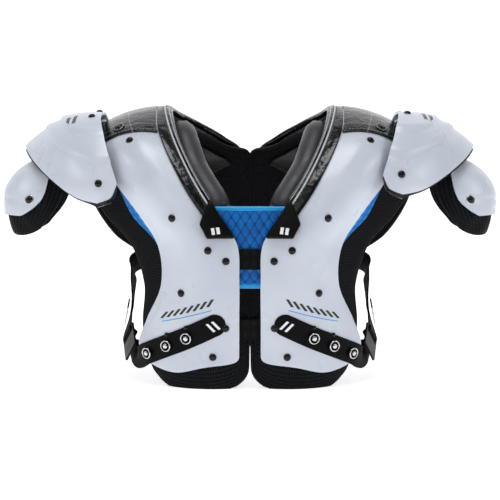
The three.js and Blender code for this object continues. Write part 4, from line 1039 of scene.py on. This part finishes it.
# The rivets: black domed heads that hold the plastic, the straps and the liners together.
RIVET = [(4.4, 0.0), (4.5, 0.3), (4.4, 0.7), (4.0, 0.8), (3.8, 1.2), (3.3, 2.0), (2.4, 2.6)]
RIVET += [(1.3, 2.9), (0.1, 3.0)]
SNAP_RING = [(4.2, 0.0), (4.4, 1.3), (5.2, 1.9), (6.4, 1.7), (7.4, 0.7), (7.8, -0.1)]
BACK_SNAP = [(7.2, -0.4), (7.4, 0.6), (6.8, 1.5), (5.6, 1.7), (5.0, 1.2), (4.4, 1.2), (3.9, 2.2)]
BACK_SNAP += [(2.2, 3.0), (0.1, 3.2)]
WASHER = [(4.4, 0.0), (4.5, 0.7), (5.4, 0.9), (6.1, 0.5), (6.2, -0.3)]
rivet_nylon, tree, shader = finish_named(
    "moulded_nylon_black_glossy", "#040405", 0.24, Specular_IOR_Level=0.3
)
worn(shader, noise(tree, object_place(tree), 3, 3), 0.16, 0.28)
ARCH_RIVETS = [(6.98, 0.524), (4.92, 0.51), (3.86, 0.34), (3.55, 0.15), (2.82, 0.68), (0.96, 0.23)]
PLATE_RIVETS = {"top": (-0.22, 0.1), "front": (-0.86, 0.45)}
STRAP_SNAP_AT, BACK_SNAP_AT = (7.52, 0.588), (LAST - 4.55, 0.27)
PLATE_BACK_AT, CAP_RIVET_AT = (0.12, 0.06), (math.radians(-63.5), 0.77)
ARCH_STUDS = {  # section, share across, lift and profile
    "strap_snap": (*STRAP_SNAP_AT, STRAP_LIFT + STRAP_THICK, RIVET),
    "belt_end_rivet": (1.82, 0.12, ARCH_WALL, RIVET),
    "belt_stud_upper": (1.9, 0.5, ARCH_WALL, KNOB),
    "belt_stud_lower": (1.64, 0.69, ARCH_WALL, KNOB),
}
for side in SIDES:
    for i, (s, t) in enumerate(ARCH_RIVETS):
        place, nodes = on_form(s, t, ARCH_WALL + rib(s, t)), [f"arch_rivet_{i + 1}_{side}"]
        out = normal_of(form, s, t)
        stud(f"arch_rivet_head_{i + 1}", side, RIVET, place, out, rivet_nylon, cad_nodes=nodes)
    for name, (t, o) in PLATE_RIVETS.items():
        place, nodes = on_plate(t, o, PLATE_WALL + terraces(t, o)), [f"plate_rivet_{name}_{side}"]
        tip, place = swung(place + normal_of(plate, t, o), side), swung(place, side)
        stud(f"plate_rivet_head_{name}", side, RIVET, place, tip - place, rivet_nylon, cad_nodes=nodes)
    for name, (s, t, lift, profile) in ARCH_STUDS.items():
        place = on_form(s, t, lift + rib(s, t))
        stud(name, side, profile, place, normal_of(form, s, t), rivet_nylon)
    place = on_form(*STRAP_SNAP_AT, STRAP_LIFT + STRAP_THICK)
    out = normal_of(form, *STRAP_SNAP_AT)
    stud("strap_snap_ring", side, SNAP_RING, place, out, wet_vinyl, "black_vinyl")
    place = on_form(*BACK_SNAP_AT, PAD_LIFT - PAD_THICK)
    stud("back_snap", side, BACK_SNAP, place, -normal_of(form, *BACK_SNAP_AT), rivet_nylon)
    place = swung(on_plate(*PLATE_BACK_AT, PLATE_WALL + terraces(*PLATE_BACK_AT)), side)
    stud("plate_rivet_head_back", side, RIVET, place, (0, 0, 1), rivet_nylon)
    place = on_cap(*CAP_RIVET_AT, CAP_WALL + cap_relief(*CAP_RIVET_AT))
    out = normal_of(cap, *CAP_RIVET_AT)
    stud("cap_rivet_head", side, RIVET, place, out, rivet_nylon)
    stud("cap_washer", side, WASHER, place, out, nickel, "steel")


# The printing: pad-printed ink on the plastic, a row of slanted dashes over a thin line on the
# chest, and two slanted bars on each plate, wedge and belt.
def patches(name, surface, quads, material, sign=1, n=6):
    """Printed patches: each is the bilinear blend of its four corners, given as the two parameters
    of a surface, and the surface's point is taken there."""
    quads = np.asarray(quads, float)
    u, v = np.meshgrid(np.linspace(0, 1, n), np.linspace(0, 1, n), indexing="ij")
    weights = np.stack([(1 - u) * (1 - v), (1 - u) * v, u * v, u * (1 - v)], axis=-1)
    at = np.einsum("ijk,qkc->qijc", weights, quads)
    points = surface(at[..., 0], at[..., 1]) * (sign, 1, 1)
    index = np.arange(points[..., 0].size).reshape(points.shape[:3])
    low, high = slice(None, -1), slice(1, None)
    ways = ((low, low), (low, high), (high, high), (high, low))
    faces = np.stack([index[:, i, j] for i, j in ways], axis=-1).reshape(-1, 4)
    a, b, c = (points.reshape(-1, 3)[faces[:, k]] for k in range(3))
    turned_in = (np.cross(b - a, c - a) * (a - (0, 0, 40))).sum() < 0
    faces = faces[:, ::-1] if turned_in else faces
    return piece_of(name, points, faces.tolist(), material)


def ink(name, color):
    """Ink with a slightly uneven film."""
    material, tree, shader = finish_named(name, color, 0.35)
    worn(shader, noise(tree, object_place(tree), 4, 3), 0.28, 0.42)
    bumped(shader, noise(tree, object_place(tree), 0.7, 2), 0.02)
    return material


black_ink, white_ink, blue_ink = (
    ink("pad_print_ink_black", "#17181C"),
    ink("pad_print_ink_white", "#ECEDEF"),
    ink("pad_print_ink_blue", "#2E9AE0"),
)
FILM = 0.12  # mm, thicker than real ink so that it never sinks into the shell


def dash(s, t, high, wide, slant):
    """Corners of a slanted dash round a middle (s, t)."""
    return [
        (s - high / 2, t - wide / 2 + slant),
        (s - high / 2, t + wide / 2 + slant),
        (s + high / 2, t + wide / 2 - slant),
        (s + high / 2, t - wide / 2 - slant),
    ]


def on_belt(share, beside):
    """On the belt's face, at a share of its length and a distance from its middle line."""
    at = share * (len(belt) - 1)
    columns = [np.interp(at, np.arange(len(belt)), belt[:, k]) for k in range(6)]
    place, out = np.stack(columns[:3], -1), unit(np.stack(columns[3:], -1))
    ahead = unit(belt[12, :3] - belt[2, :3])
    return place + unit(np.cross(out, ahead)) * beside[..., None] + out * (BELT_THICK + FILM)


on_shell = lambda s, t: on_form(s, t, ARCH_WALL + rib(s, t) + FILM)
on_wedge = lambda s, t: on_form(s, t, ARCH_WALL + WEDGE_LIFT + WEDGE_TOP + rib(s, t) + FILM)
row_s = lambda t: 2.72 - 0.6 * t
dashes = [dash(row_s(t), t, 0.19, 0.034, 0.02) for t in np.arange(0.3, 0.8, 0.07)]
LINE_CORNERS = [(0.3, 0.27, 0.2), (0.78, 0.79, 0.2), (0.78, 0.79, 0.172), (0.3, 0.27, 0.172)]
line = [(row_s(at) - drop, t) for at, t, drop in LINE_CORNERS]
wedge_bars = [dash(4.42, t, 0.2, 0.035, 0.02) for t in (0.115, 0.17)]
plate_bars = [dash(-0.2, o, 0.13, 0.045, 0.02) for o in (0.3, 0.38)]
belt_bars = [[(h - 0.012, -6), (h + 0.006, -6), (h + 0.03, 6), (h + 0.012, 6)] for h in (0.06, 0.1)]
for side, sign in SIDES.items():
    fitted(patches(f"chest_dashes_{side}", on_shell, dashes, black_ink, sign), "black_moulding")
    fitted(patches(f"chest_line_{side}", on_shell, [line], blue_ink, sign, 14), "blue_fabric")
    fitted(patches(f"wedge_bars_{side}", on_wedge, wedge_bars, white_ink, sign), "white_shell")
    on_top = lambda turn, out: swung(on_plate(turn, out, PLATE_WALL + terraces(turn, out) + FILM), side)
    fitted(patches(f"plate_bars_{side}", on_top, plate_bars, black_ink, sign), "black_moulding")
    fitted(patches(f"belt_bars_{side}", on_belt, belt_bars, white_ink, sign), "white_shell")
